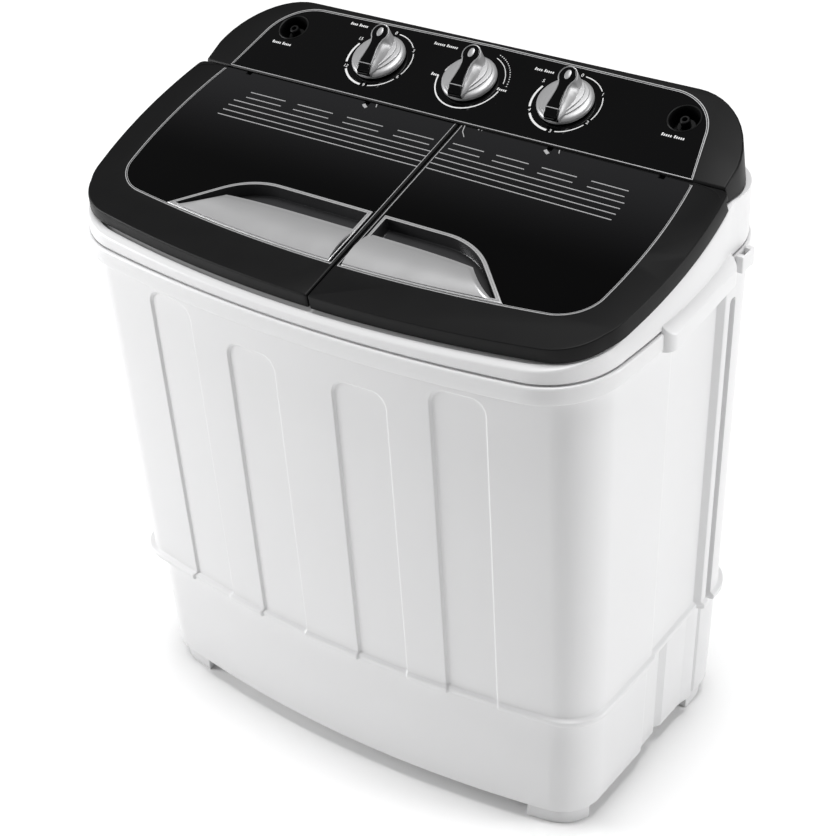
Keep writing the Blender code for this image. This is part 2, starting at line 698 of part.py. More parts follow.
def build_lid(name, sign, lug_positions):
    """One lid: the satin frame with its pin knuckles, the gloss window and the silver handle well."""
    seam = SEAM_GAP / 2
    frame = half_prism(f"{name}_frame", lid_outline(), -LID_DEPTH, 0, sign, seam, BLACK)
    pocket = half_prism(f"{name}_pocket", lid_outline(0.004), -0.03, -0.005, sign, seam + 0.003)
    seat = half_prism(f"{name}_seat", window_outline(), -SEAT_DEPTH, 0.01, sign, seam + 0.0025)
    hole = half_prism(f"{name}_hole", window_outline(LIP), -0.02, 0.01, sign, seam + 0.0065)
    rear_relief = box(f"{name}_relief", (-0.30, -0.0100, -0.03), (0.30, 0.01, -0.0050),
    parent=LID_FRAME)
    trim_hole = half_prism(f"{name}_trim_hole", handle_outline(), -0.02, 0.01, sign, seam + 0.0055)
    notches = [
        box(
            f"{name}_notch_{i}", (x - EAR_REACH, HINGE_S - 0.0042, -0.03), (x + EAR_REACH, 0.02, 0.02),
            parent=LID_FRAME,
        )
        for i, x in enumerate(lug_positions)
    ]
    cut(frame, pocket, seat, hole, rear_relief, trim_hole, *notches)
    for i, x in enumerate(lug_positions):
        join(frame, *knuckle(f"{name}_knuckle_{i}", x))
    window = half_prism(
        f"{name}_window", window_outline(GAP), -SEAT_DEPTH + GAP, -GAP, sign, seam + 0.0025 + GAP, GLOSS
    )
    cut(window, trim_hole, *notches)
    build_handle(name, sign, seam + 0.0055)


def knuckle(name, x):
    """The two ears beside a lug and the pin between them, all moulded with the lid."""
    low, high = HINGE_S - 0.0030, HINGE_S + 0.0030
    left, right = x - EAR_REACH, x + EAR_REACH
    ears = [
        box(f"{name}_ear_{i}", (start, low, HINGE_Z - 0.003), (end, high, -0.0036), parent=LID_FRAME)
        for i, (start, end) in enumerate(((left - 0.004, left), (right, right + 0.004)))
    ]
    half = EAR_REACH + 0.002
    pin = cylinder(f"{name}_pin", 0.0014, -half, half, parent=LID_FRAME, segments=10)
    pin.matrix_local = Matrix.Translation((x, HINGE_S, HINGE_Z)) @ Matrix.Rotation(math.pi / 2, 4, "Y")
    return [*ears, pin]


def build_handle(name, sign, margin):
    """Half of the D-shaped silver well: fingers go in behind its front plate and pull up."""
    floor_z = -0.0138
    trim = half_prism(f"{name}_handle", handle_outline(GAP),
    floor_z, 0.0012, sign, margin + GAP, SILVER)
    well = half_prism(
        f"{name}_finger_well", handle_outline(0.0040), floor_z + 0.0014, 0.02, sign, margin + 0.0030
    )
    plate = half_prism(f"{name}_front_plate", handle_outline(0.0020),
    -0.0020, 0.0012, sign, margin + 0.0010)
    sliced(plate, (0, HANDLE_EDGE_S, 0), (0, 1, 0))
    cut(trim, well)
    join(trim, plate)


# ---- Wash side ----
WASH_TUB_HALF = 0.119


def wash_tub_plan(grow, radius):
    """The square tub's outline, grown or shrunk all round."""
    half = WASH_TUB_HALF + grow
    return rounded(WASH_X - half, WASH_Y - half, WASH_X + half, WASH_Y + half, radius)


def build_wash_tub():
    rings = [(wash_tub_plan(-0.006, 0.040), WASH_FLOOR_Z), (wash_tub_plan(0, 0.046), TUB_RIM_Z - 0.003)]
    tub = lofted("wash_tub", rings, TUB, floor=True)
    flange = prism("wash_flange", wash_tub_plan(0.003, 0.049), TUB_RIM_Z - 0.0045, TUB_RIM_Z)
    mouth = prism("wash_mouth", wash_tub_plan(-0.003, 0.043), TUB_RIM_Z - 0.02, TUB_RIM_Z + 0.01)
    cut(flange, mouth)
    bore = cylinder("wash_bore", 0.0185, 0.20, 0.26, at=(WASH_X, WASH_Y), segments=24)
    join(tub, flange)
    cut(tub, bore)
    build_pulsator()
    build_bearing_housing()
    build_lint_filter()


def build_pulsator():
    """The dished disc with curved fins, its shaft, and the belt pulley under the tub."""
    foot = WASH_FLOOR_Z + WALL + 0.0035
    disc = turned(
        "pulsator",
        [(0, foot + 0.026), (0.014, foot + 0.024), (0.022, foot + 0.012), (0.060, foot + 0.004),
         (0.082, foot + 0.004),
         (0.082, foot), (SHAFT_RADIUS + GAP, foot), (SHAFT_RADIUS + GAP, foot + 0.016),
         (0, foot + 0.016)],
        TUB, at=(WASH_X, WASH_Y, 0), steps=28,
    )
    for i in range(4):
        fin = prism(f"pulsator_fin_{i}", fin_outline(), foot + 0.002, foot + 0.017)
        fin.location = (WASH_X, WASH_Y, 0)
        fin.rotation_euler = (0, 0, i * math.pi / 2)
        join(disc, fin)
    turned(
        "pulsator_shaft",
        [(0, foot + 0.0155), (SHAFT_RADIUS, foot + 0.0155), (SHAFT_RADIUS, BELT_Z - 0.014),
         (0, BELT_Z - 0.014)],
        STEEL, at=(WASH_X, WASH_Y, 0), steps=16,
    )
    pulley("drive_pulley", (WASH_X, WASH_Y), PULLEY_RADIUS, SHAFT_RADIUS + GAP, 28)


def fin_outline():
    """A fin that curves from the hub to the rim."""
    outer = arc((0.052, -0.060), 0.064, 128, 72, 6)
    inner = arc((0.052, -0.060), 0.057, 72, 128, 6)
    return outer[::-1] + inner[::-1]


def pulley(name, at, radius, bore, steps):
    half, groove, depth = 0.0065, 0.0045, 0.0060
    profile = [
        (bore, BELT_Z + half), (radius, BELT_Z + half), (radius, BELT_Z + groove),
        (radius - depth, BELT_Z + groove - 0.001),
        (radius - depth, BELT_Z - groove + 0.001), (radius, BELT_Z - groove), (radius, BELT_Z - half),
        (bore, BELT_Z - half),
    ]
    return turned(name, profile, MOTOR, at=(*at, 0), steps=steps)


def build_bearing_housing():
    """The flanged housing under the wash tub that carries the pulsator's shaft."""
    top = WASH_FLOOR_Z - GAP
    bore = SHAFT_RADIUS + 0.0005
    turned(
        "wash_bearing_housing",
        [(bore, top + 0.005), (0.0180, top + 0.005), (0.0180, top), (0.046, top),
         (0.046, top - 0.006), (0.024, top - 0.009),
         (0.019, BELT_Z + 0.012), (bore, BELT_Z + 0.012)],
        MOTOR, at=(WASH_X, WASH_Y, 0), steps=24,
    )


def build_lint_filter():
    """The slide-in filter cassette on the tub's rear wall."""
    rear = WASH_Y + WASH_TUB_HALF - WALL - 0.0075
    outline = rounded(WASH_X - 0.035, rear - 0.020, WASH_X + 0.035, rear, 0.005, 2)
    body = prism("lint_filter", outline, 0.330, 0.450, TUB)
    hollow = box("filter_hollow", (WASH_X - 0.031, rear - 0.030, 0.340),
    (WASH_X + 0.031, rear - 0.004, 0.440))
    bars = [
        box(f"filter_bar_{i}", (WASH_X - 0.033, rear - 0.0195, z - 0.0015),
        (WASH_X + 0.033, rear - 0.0160, z + 0.0015))
        for i, z in enumerate((0.360, 0.380, 0.400, 0.420))
    ]
    cut(body, hollow)
    join(body, *bars)


def build_wash_motor():
    """The wash motor on the base's floor, its shaft with the small pulley, and the belt."""
    low, high = 0.062, 0.150
    body = turned(
        "wash_motor",
        [(0.0055, high), (0.030, high), (0.052, high - 0.012), (0.052, low + 0.012), (0.030, low),
         (0, low),
         (0, low + 0.02), (0.0055, low + 0.02)],
        MOTOR, at=(MOTOR_X, MOTOR_Y, 0), steps=24,
    )
    floor_z = BASE_FOOT_Z + WALL + GAP
    for i, x in enumerate((MOTOR_X - 0.057, MOTOR_X + 0.057)):
        ear = box(
            f"motor_ear_{i}", (x - 0.009, MOTOR_Y - 0.009, low + 0.012),
            (x + 0.009, MOTOR_Y + 0.009, low + 0.018)
        )
        post = cylinder(f"motor_post_{i}", 0.006, floor_z, low + 0.014, at=(x, MOTOR_Y), segments=12)
        join(body, ear, post)
    small = MOTOR_PULLEY_RADIUS
    half, groove = 0.0065, 0.0045
    turned(
        "motor_pulley",
        [(0, BELT_Z + half), (small, BELT_Z + half), (small, BELT_Z + groove),
         (small - 0.006, BELT_Z + groove - 0.001),
         (small - 0.006, BELT_Z - groove + 0.001), (small, BELT_Z - groove), (small, BELT_Z - half),
         (0.005, BELT_Z - half),
         (0.005, low + 0.026), (0, low + 0.026)],
        MOTOR, at=(MOTOR_X, MOTOR_Y, 0), steps=16,
    )
    build_belt()


def build_belt():
    """The belt as a flat band: an outer and an inner loop round both pulleys."""
    curve = bpy.data.curves.new("drive_belt", "CURVE")
    curve.dimensions = "2D"
    curve.fill_mode = "BOTH"
    curve.extrude = 0.0028
    for offset in (-0.0012, -0.0054):
        spline = curve.splines.new("POLY")
        loop = belt_loop(offset)
        spline.points.add(len(loop) - 1)
        for target, (x, y) in zip(spline.points, loop):
            target.co = (x, y, 0, 1)
        spline.use_cyclic_u = True
    belt = link("drive_belt", curve, RUBBER)
    belt.location = (0, 0, BELT_Z)


def belt_loop(offset):
    """The outline round the two pulleys, offset from their rims."""
    big, small = PULLEY_RADIUS + offset, MOTOR_PULLEY_RADIUS + offset
    start, end = Vector((WASH_X, WASH_Y)), Vector((MOTOR_X, MOTOR_Y))
    span = end - start
    heading = math.degrees(math.atan2(span.y, span.x))
    spread = math.degrees(math.acos((big - small) / span.length))
    loop = arc(start, big, heading + spread, heading + 360 - spread, 24)
    return loop + arc(end, small, heading - spread, heading + spread, 8)


# ---- Spin side ----
def build_spin_tub():
    low, high, outer = SPIN_FLOOR_Z, TUB_RIM_Z, SPIN_TUB_RADIUS
    turned(
        "spin_outer_tub",
        [(outer - WALL, high), (outer + 0.003, high), (outer + 0.003, high - 0.003),
         (outer, high - 0.003),
         (outer - 0.004, low + 0.01), (outer - 0.014, low), (0.0300, low), (0.0300, low + WALL),
         (outer - 0.016, low + WALL), (outer - 0.007, low + 0.012)],
        TUB, at=(SPIN_X, SPIN_Y, 0), steps=32,
    )
    turned(
        "spin_bellows",
        [(SHAFT_RADIUS + 0.0005, SPIN_FLOOR_Z + 0.014), (0.014, SPIN_FLOOR_Z + 0.014),
         (0.017, SPIN_FLOOR_Z + 0.005),
         (0.0296, SPIN_FLOOR_Z + 0.003), (0.0296, SPIN_FLOOR_Z - 0.001), (0.024, SPIN_FLOOR_Z - 0.004),
         (SHAFT_RADIUS + 0.0005, SPIN_FLOOR_Z - 0.004)],
        RUBBER, at=(SPIN_X, SPIN_Y, 0), steps=24,
    )
    build_basket()
    build_spin_drive()


BASKET_FLOOR_Z = 0.236
BASKET_RIM_Z = 0.500


def build_basket():
    """The perforated spin basket with its rolled rim and hub, and the loose press cover in it."""
    low, high, radius = BASKET_FLOOR_Z, BASKET_RIM_Z, BASKET_RADIUS
    basket = turned(
        "spin_basket",
        [(radius - 0.007, high), (radius + 0.003, high), (radius + 0.003, high - 0.012),
         (radius, high - 0.012),
         (radius - 0.003, low + 0.010), (radius - 0.012, low), (SHAFT_RADIUS + GAP, low),
         (SHAFT_RADIUS + GAP, low + 0.020),
         (0, low + 0.020), (0, low + 0.030), (0.018, low + 0.026), (0.034, low + 0.002),
         (radius - 0.014, low + 0.002),
         (radius - 0.005, low + 0.011), (radius - 0.002, high - 0.012), (radius - 0.007, high - 0.008)],
        TUB, at=(SPIN_X, SPIN_Y, 0), steps=32,
    )
    slots = [
        drain_slot(f"basket_slot_{row}_{i}", row, i) for row in range(4) for i in range(6)
    ]
    cut(basket, *slots)
    turned(
        "spin_cover",
        [(0, high - 0.020), (0.010, high - 0.020), (0.012, high - 0.034), (0.070, high - 0.038),
         (0.078, high - 0.026),
         (0.082, high - 0.026), (0.082, high - 0.029), (0.080, high - 0.029), (0.072, high - 0.041),
         (0, high - 0.037)],
        TUB, at=(SPIN_X, SPIN_Y, 0), steps=24,
    )


def drain_slot(name, row, index):
    """One upright slot through the basket's wall."""
    slot = box(name, (BASKET_RADIUS - 0.012, -0.003, -0.018), (BASKET_RADIUS + 0.010, 0.003, 0.018))
    turn = (index + 0.5 * (row % 2)) * math.pi / 3 + 0.04
    slot.matrix_world = (
        Matrix.Translation((SPIN_X, SPIN_Y, 0.280 + row * 0.058)) @ Matrix.Rotation(turn, 4, "Z")
    )
    return slot


def build_spin_drive():
    """The spin motor on its springs, the shaft, the brake drum and the brake's lever."""
    at = (SPIN_X, SPIN_Y, 0)
    shaft_top, shaft_foot = BASKET_FLOOR_Z + 0.0195, 0.084
    turned(
        "spin_shaft",
        [(0, shaft_top), (SHAFT_RADIUS, shaft_top), (SHAFT_RADIUS, shaft_foot), (0, shaft_foot)],
        STEEL, at=at, steps=16,
    )
    bore = SHAFT_RADIUS + GAP
    turned(
        "brake_drum",
        [(bore, 0.188), (DRUM_RADIUS, 0.188), (DRUM_RADIUS, 0.164), (DRUM_RADIUS - 0.004, 0.164),
         (DRUM_RADIUS - 0.004, 0.182), (0.014, 0.182), (0.014, 0.160), (bore, 0.160)],
        STEEL, at=at, steps=24,
    )
    turned(
        "spin_motor",
        [(SHAFT_RADIUS + 0.0005, 0.150), (0.032, 0.150), (0.052, 0.138), (0.052, 0.076),
         (0.060, 0.074), (0.060, 0.070),
         (0, 0.070), (0, 0.080), (SHAFT_RADIUS + 0.0005, 0.080)],
        MOTOR, at=at, steps=24,
    )
    for i in range(3):
        angle = math.radians(90 + 120 * i)
        x, y = SPIN_X + 0.045 * math.cos(angle), SPIN_Y + 0.045 * math.sin(angle)
        build_spring(f"motor_spring_{i + 1}", x, y, BASE_FOOT_Z + WALL + 0.0030, 0.0665)
    build_brake()


def build_spring(name, x, y, low, high):
    turns, per_turn, radius, wire = 3, 8, 0.0100, 0.0016
    count = turns * per_turn
    points = []
    for i in range(count + 1):
        angle = 2 * math.pi * i / per_turn
        level = low + (high - low) * i / count
        points.append((x + radius * math.cos(angle), y + radius * math.sin(angle), level))
    tube(name, points, wire, STEEL, resolution=1)


DRUM_RADIUS = 0.040
BRAKE_OFFSET = Vector((0.062, 0.034))  # the lever's pin, from the drum's axis
BRAKE_Z = 0.175


def build_brake():
    """The lever that presses its pad on the drum while the spin lid is open, and the pin it turns on."""
    x, y = SPIN_X + BRAKE_OFFSET.x, SPIN_Y + BRAKE_OFFSET.y
    drum = -BRAKE_OFFSET
    outline = arc((0, 0), 0.0080, -90, 90, 6)
    outline += [(-0.050, 0.0195), (-0.066, 0.0175), (-0.066, 0.0125), (-0.046, 0.0110)]
    lever = prism("brake_lever", outline, -0.003, 0.003, STEEL)
    pad_outline = arc(drum, DRUM_RADIUS + 0.0090, 72, 104, 5) + arc(drum, DRUM_RADIUS + 0.0025, 104, 72, 5)
    pad = prism("brake_pad", pad_outline, -0.006, 0.006)
    hole = cylinder("brake_hole", 0.0040, -0.02, 0.02, segments=14)
    for piece in (lever, pad, hole):
        piece.location = (x, y, BRAKE_Z)
    join(lever, pad)
    cut(lever, hole)
    floor_z = BASE_FOOT_Z + WALL + GAP
    turned(
        "brake_pin",
        [(0, BRAKE_Z + 0.006), (0.0055, BRAKE_Z + 0.006), (0.0055, BRAKE_Z + 0.0034),
         (0.0037, BRAKE_Z + 0.0034),
         (0.0037, BRAKE_Z - 0.0034), (0.0055, BRAKE_Z - 0.0034), (0.0055, floor_z), (0, floor_z)],
        STEEL, at=(x, y, 0), steps=12,
    )


# ---- Drain and electrical pieces ----
VALVE_X, VALVE_Y = 0.030, 0.112


def build_drain():
    """The drain valve with its sprung plunger, the elbow and the spout at the back."""
    turned(
        "drain_valve",
        [(0.0075, 0.262), (0.018, 0.262), (0.018, 0.150), (0, 0.150), (0, 0.154), (0.0150, 0.154),
         (0.0150, 0.256), (0.0075, 0.256)],
        TUB, at=(VALVE_X, VALVE_Y, 0), steps=20,
    )
    turned(
        "drain_plunger",
        [(0, 0.300), (0.004, 0.300), (0.004, 0.178), (0.012, 0.174), (0.012, 0.160), (0, 0.156)],
        RUBBER, at=(VALVE_X, VALVE_Y, 0), steps=16,
    )
    low = 0.150 - GAP
    elbow = arc((VALVE_Y + 0.022, DRAIN_Z + 0.022), 0.022, 180, 270, 5)
    end = VALVE_Y + 0.028
    points = [(DRAIN_X, VALVE_Y, low)] + [(DRAIN_X, y, z) for y, z in elbow] + [(DRAIN_X, end, DRAIN_Z)]
    tube("drain_elbow", points, 0.0115, TUB, resolution=2)
    start = end + GAP
    spout = turned(
        "drain_spout",
        [(0.0095, DEPTH / 2), (0.0120, DEPTH / 2), (0.0132, DEPTH / 2 - 0.006),
         (0.0120, DEPTH / 2 - 0.007),
         (0.0120, start), (0.0095, start)],
        BLACK, steps=20,
    )
    placed_along_y(spout, DRAIN_X, DRAIN_Z)


def build_electrics():
    floor_z = BASE_FOOT_Z + WALL + GAP
    turned(
        "capacitor",
        [(0, 0.118), (0.0165, 0.118), (0.0175, 0.115), (0.0175, floor_z), (0, floor_z)],
        TUB, at=(-0.120, 0.090, 0), steps=20,
    )
    gland = turned(
        "cord_gland",
        [(0.0042, 0.1540), (0.0110, 0.1540), (0.0115, 0.1505), (0.0080, 0.1505), (0.0080, 0.1420),
         (0.0042, 0.1420)],
        RUBBER, steps=16,
    )
    placed_along_y(gland, CORD_X, CORD_Z)
    box("lid_switch", (0.2420, 0.090, 0.5700), (0.2560, 0.118, 0.5930), BLACK)


def main():
    build_base()
    build_cabinet()
    build_rear_cover()
    build_top_frame()
    build_hose_hook()
    build_console()
    build_lid("wash_lid", -1, LUG_X[:2])
    build_lid("spin_lid", 1, LUG_X[2:])
    build_wash_tub()
    build_wash_motor()
    build_spin_tub()
    build_drain()
    build_electrics()


clear_scene()
PARTS = new_collection("twin_tub_washer")
CUTTERS = new_collection("cutters")
LID_FRAME = frame_empty("lid_plane", (0, LID_REAR_Y, LID_REAR_Z), LID_SLOPE)
PANEL_FRAME = frame_empty("panel_plane", (0, LID_REAR_Y, LID_REAR_Z), PANEL_TILT)
main()
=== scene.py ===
"""Looks for the compact twin tub washer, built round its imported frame: shells, lids, dials and tubs.

Metres, +Z up, the front faces -Y. A piece replaces the CAD nodes that it names, or adds detail to a body, and
rides on that body.
"""

import json
import math

import bmesh
import bpy
from mathutils import Matrix, Vector


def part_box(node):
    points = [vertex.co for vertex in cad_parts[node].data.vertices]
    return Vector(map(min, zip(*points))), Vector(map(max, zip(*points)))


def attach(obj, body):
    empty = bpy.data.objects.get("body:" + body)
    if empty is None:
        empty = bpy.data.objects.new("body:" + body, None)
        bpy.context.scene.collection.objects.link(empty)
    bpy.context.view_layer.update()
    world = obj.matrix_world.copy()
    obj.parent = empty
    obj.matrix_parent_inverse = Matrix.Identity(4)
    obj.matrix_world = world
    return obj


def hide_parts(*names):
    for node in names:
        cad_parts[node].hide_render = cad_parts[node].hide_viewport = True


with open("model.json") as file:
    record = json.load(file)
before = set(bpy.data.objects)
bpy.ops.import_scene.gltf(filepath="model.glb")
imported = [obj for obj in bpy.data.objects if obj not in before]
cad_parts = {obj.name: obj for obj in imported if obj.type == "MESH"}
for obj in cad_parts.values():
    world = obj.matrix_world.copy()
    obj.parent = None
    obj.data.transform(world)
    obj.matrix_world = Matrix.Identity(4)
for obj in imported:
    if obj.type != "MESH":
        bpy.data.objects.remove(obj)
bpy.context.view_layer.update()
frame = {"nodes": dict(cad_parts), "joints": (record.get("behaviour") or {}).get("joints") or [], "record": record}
RECORD = frame["record"]
JOINTS = {joint["name"]: joint for joint in frame["joints"]}
LEVEL = Matrix.Identity(4)
UPRIGHT = Matrix(((0, 0, 1, 0), (1, 0, 0, 0), (0, 1, 0, 0), (0, 0, 0, 1)))  # stands an outline up, facing X

# ---- The design's own sizes, as the frame has them ----
LID_SLOPE = math.radians(14.6)
PANEL_AXIS = JOINTS["selector_turn"]["axis"]
PANEL_TILT = math.atan2(PANEL_AXIS[1], -PANEL_AXIS[2])
HINGE_S, HINGE_Z = -0.0064, -0.0045  # the lids' axis in the lid plane's own frame
HINGE = Vector(JOINTS["wash_lid_hinge"]["pos_m"])
LID_REAR_Y = HINGE.y - HINGE_S * math.cos(LID_SLOPE) + HINGE_Z * math.sin(LID_SLOPE)
LID_REAR_Z = HINGE.z - HINGE_S * math.sin(LID_SLOPE) - HINGE_Z * math.cos(LID_SLOPE)
LID = Matrix.Translation((0, LID_REAR_Y, LID_REAR_Z)) @ Matrix.Rotation(LID_SLOPE, 4, "X")
PANEL = Matrix.Translation((0, LID_REAR_Y, LID_REAR_Z)) @ Matrix.Rotation(PANEL_TILT, 4, "X")
SEAM_X, SEAM_GAP = 0.0175, 0.0016
WASH_LUGS, SPIN_LUGS = (-0.225, -0.084), (0.114, 0.225)  # x of each lid's hinge lugs
LID_DEPTH, DECK_DROP = 0.014, 0.018
FRONT_BULGE, SIDE_TAPER = 0.028, 0.0065
COLLAR_LOW, COLLAR_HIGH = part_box("top_frame")
COLLAR_HALF, COLLAR_FRONT, COLLAR_REAR = 0.2905, COLLAR_LOW.y, COLLAR_HIGH.y
COLLAR_FOOT_Z, COLLAR_RISE, BAND_HEIGHT = 0.506, 0.085, 0.018
BODY_FOOT_Z, BODY_TOP_Z = 0.146, 0.535
BASE_FOOT_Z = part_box("base")[0].z
CONSOLE_FLOOR_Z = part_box("console_housing")[0].z
TUB_RIM_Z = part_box("wash_tub")[1].z
KNOB_PITCH, KNOB_V, KNOB_RADIUS = 0.1023, 0.0485, 0.0265
INLET_X, INLET_V, INLET_RADIUS = 0.2140, 0.0620, 0.016
SEAM = 0.0004  # how far the raised light lines, painted highlights, stand proud
PRINT_HEIGHT = 0.0002
WELD = 1e-6  # points nearer than this are one


# ---- Outlines ----
def arc(centre, radius, start, end, count):
    angles = [math.radians(start + (end - start) * i / count) for i in range(count + 1)]
    return [(centre[0] + radius * math.cos(a), centre[1] + radius * math.sin(a)) for a in angles]


def rounded(x_low, y_low, x_high, y_high, radius, count=8):
    """A rectangle with round corners, counter-clockwise from above."""
    corners = (
        (x_high - radius, y_low + radius, -90),
        (x_high - radius, y_high - radius, 0),
        (x_low + radius, y_high - radius, 90),
        (x_low + radius, y_low + radius, 180),
    )
    return [p for x, y, start in corners for p in arc((x, y), radius, start, start + 90, count)]


EVEN = [i / 24 for i in range(1, 24)]


FRONT_ARC, REAR_ARC = 18, 12  # segments in a plan's corners


def plan(
    half, front, rear, corner, rear_corner, bulge=FRONT_BULGE, side=(), inset=0.0, shares=EVEN, backs=()
):
    """The machine's plan outline: a bowed front, round corners and, between them, any side steps.

    shares places the front's points between the middle and the corner, and backs lists x on the rear.
    """
    half, front, rear = half - inset, front + inset, rear - inset
    corner, rear_corner = max(corner - inset, 0.002), max(rear_corner - inset, 0.002)
    near = half - SIDE_TAPER
    slope = math.atan(2 * bulge * (near - corner) / near**2)
    start = math.degrees(slope) - 90
    arc_x = near - corner + corner * math.cos(math.radians(start))
    arc_y = front + bulge * (arc_x / near) ** 2
    centre_y = arc_y - corner * math.sin(math.radians(start))
    right = [(arc_x * s, front + bulge * (arc_x * s / near) ** 2) for s in shares]
    right += arc((near - corner, centre_y), corner, start, 0, FRONT_ARC)
    lean = SIDE_TAPER / (rear - rear_corner - centre_y)
    right += [(near + lean * (y - centre_y) + offset, y) for y, offset in side]
    right += arc((half - rear_corner, rear - rear_corner), rear_corner, 0, 90, REAR_ARC)
    right += [(x, rear) for x in backs]
    left = [(-x, y) for x, y in reversed(right)]
    return [(0, front)] + right + left


def bowed(outline, swell, peak, reach):
    """Swells an outline's sides by swell at y = peak, fading to nothing at reach before and behind it."""
    half = max(x for x, _ in outline)
    return [(x * (1 + swell / half * max(0.0, 1 - ((y - peak) / reach) ** 2)), y) for x, y in outline]


def clipped(outline, x, sign):
    """The part of an outline on one side of the line at x."""
    kept = []
    for (ax, ay), (bx, by) in zip(outline, outline[1:] + outline[:1]):
        inside, next_inside = sign * (ax - x) >= 0, sign * (bx - x) >= 0
        if inside:
            kept.append((ax, ay))
        if inside != next_inside:
            share = (x - ax) / (bx - ax)
            kept.append((x, ay + share * (by - ay)))
    return kept


def eased(steps, size=0.0008):
    """Rounds each corner of a side's (y, offset) line with three points."""
    made = [steps[0]]
    for before, at, after in zip(steps, steps[1:], steps[2:]):
        a, b, c = Vector(before), Vector(at), Vector(after)
        back = b + (a - b).normalized() * min(size, (a - b).length * 0.4)
        ahead = b + (c - b).normalized() * min(size, (c - b).length * 0.4)
        made += [tuple(back), tuple((back + ahead + 2 * b) / 4), tuple(ahead)]
    return made + [steps[-1]]


# ---- Meshes and pieces ----
def new_object(name, bm, matrix=LEVEL):
    mesh = bpy.data.meshes.new(name)
    bm.to_mesh(mesh)
    bm.free()
    mesh.transform(matrix)
    obj = bpy.data.objects.new(name, mesh)
    bpy.context.scene.collection.objects.link(obj)
    return obj


def prism(name, outline, low, high, matrix=LEVEL):
    """The flat outline, extruded from low to high."""
    bm = bmesh.new()
    face = bm.faces.new([bm.verts.new((x, y, low)) for x, y in outline])
    grown = bmesh.ops.extrude_face_region(bm, geom=[face])["geom"]
    moved = [item for item in grown if isinstance(item, bmesh.types.BMVert)]
    bmesh.ops.translate(bm, vec=(0, 0, high - low), verts=moved)
    bmesh.ops.recalc_face_normals(bm, faces=bm.faces)
    return new_object(name, bm, matrix)


def box(name, low, high, matrix=LEVEL):
    corners = [(low[0], low[1]), (high[0], low[1]), (high[0], high[1]), (low[0], high[1])]
    return prism(name, corners, low[2], high[2], matrix)


def turned(name, profile, at=(0, 0, 0), matrix=LEVEL, steps=64):
    """A solid of revolution about the local Z axis, from a closed profile of (radius, z)."""
    bm = bmesh.new()
    loops = []
    for radius, z in profile:
        if radius < 1e-6:
            loops.append([bm.verts.new((0, 0, z))])
            continue
        angles = [2 * math.pi * i / steps for i in range(steps)]
        loops.append([bm.verts.new((radius * math.cos(a), radius * math.sin(a), z)) for a in angles])
    for lower, upper in zip(loops, loops[1:] + loops[:1]):
        if len(lower) == 1 and len(upper) == 1:
            continue
        for i in range(steps):
            j = (i + 1) % steps
            corners = [
                lower[i % len(lower)], lower[j % len(lower)], upper[j % len(upper)], upper[i % len(upper)]
            ]
            bm.faces.new(dict.fromkeys(corners))
    bmesh.ops.recalc_face_normals(bm, faces=bm.faces)
    return new_object(name, bm, matrix @ Matrix.Translation(at))


def rod(name, radius, high, low, **place):
    """A plain round body from high down to low."""
    return turned(name, [(0, high), (radius, high), (radius, low), (0, low)], **place)


def evaluated_mesh(obj):
    bpy.context.view_layer.update()
    return bpy.data.meshes.new_from_object(obj.evaluated_get(bpy.context.evaluated_depsgraph_get()))


def baked(obj):
    """Applies an object's modifiers."""
    mesh = evaluated_mesh(obj)
    obj.modifiers.clear()
    obj.data = mesh
    return obj


def flat_curve(name, curve, lift, matrix):
    """Turns a curve object's data into a mesh, raised by lift."""
    obj = bpy.data.objects.new(name, curve)
    bpy.context.scene.collection.objects.link(obj)
    mesh = evaluated_mesh(obj)
    bpy.data.objects.remove(obj)
    bm = bmesh.new()
    bm.from_mesh(mesh)
    bmesh.ops.translate(bm, vec=lift, verts=bm.verts)
    bmesh.ops.remove_doubles(bm, verts=bm.verts, dist=WELD)
    return new_object(name, bm, matrix)


def boolean(obj, operation, *others):
    for other in others:
        modifier = obj.modifiers.new("boolean", "BOOLEAN")
        modifier.operation = operation
        modifier.object = other
    baked(obj)
    for other in others:
        bpy.data.objects.remove(other)
    return obj


def cut(obj, *others):
    return boolean(obj, "DIFFERENCE", *others)


def join(obj, *others):
    return boolean(obj, "UNION", *others)


def eased_edges(obj, width, segments=3, angle=30):
    """Rounds the sharp edges."""
    modifier = obj.modifiers.new("edges", "BEVEL")
    modifier.width = width
    modifier.segments = segments
    modifier.limit_method = "ANGLE"
    modifier.angle_limit = math.radians(angle)
    modifier.use_clamp_overlap = True
    return baked(obj)


def sliced(obj, point, normal):
    """Takes away what lies on the normal's side of a plane, and closes the cut."""
    bm = bmesh.new()
    bm.from_mesh(obj.data)
    geometry = bm.verts[:] + bm.edges[:] + bm.faces[:]
    made = bmesh.ops.bisect_plane(bm, geom=geometry, plane_co=point, plane_no=normal, clear_outer=True)
    edges = [item for item in made["geom_cut"] if isinstance(item, bmesh.types.BMEdge)]
    bmesh.ops.edgeloop_fill(bm, edges=edges)
    bmesh.ops.recalc_face_normals(bm, faces=bm.faces)
    bm.to_mesh(obj.data)
    bm.free()
    return obj


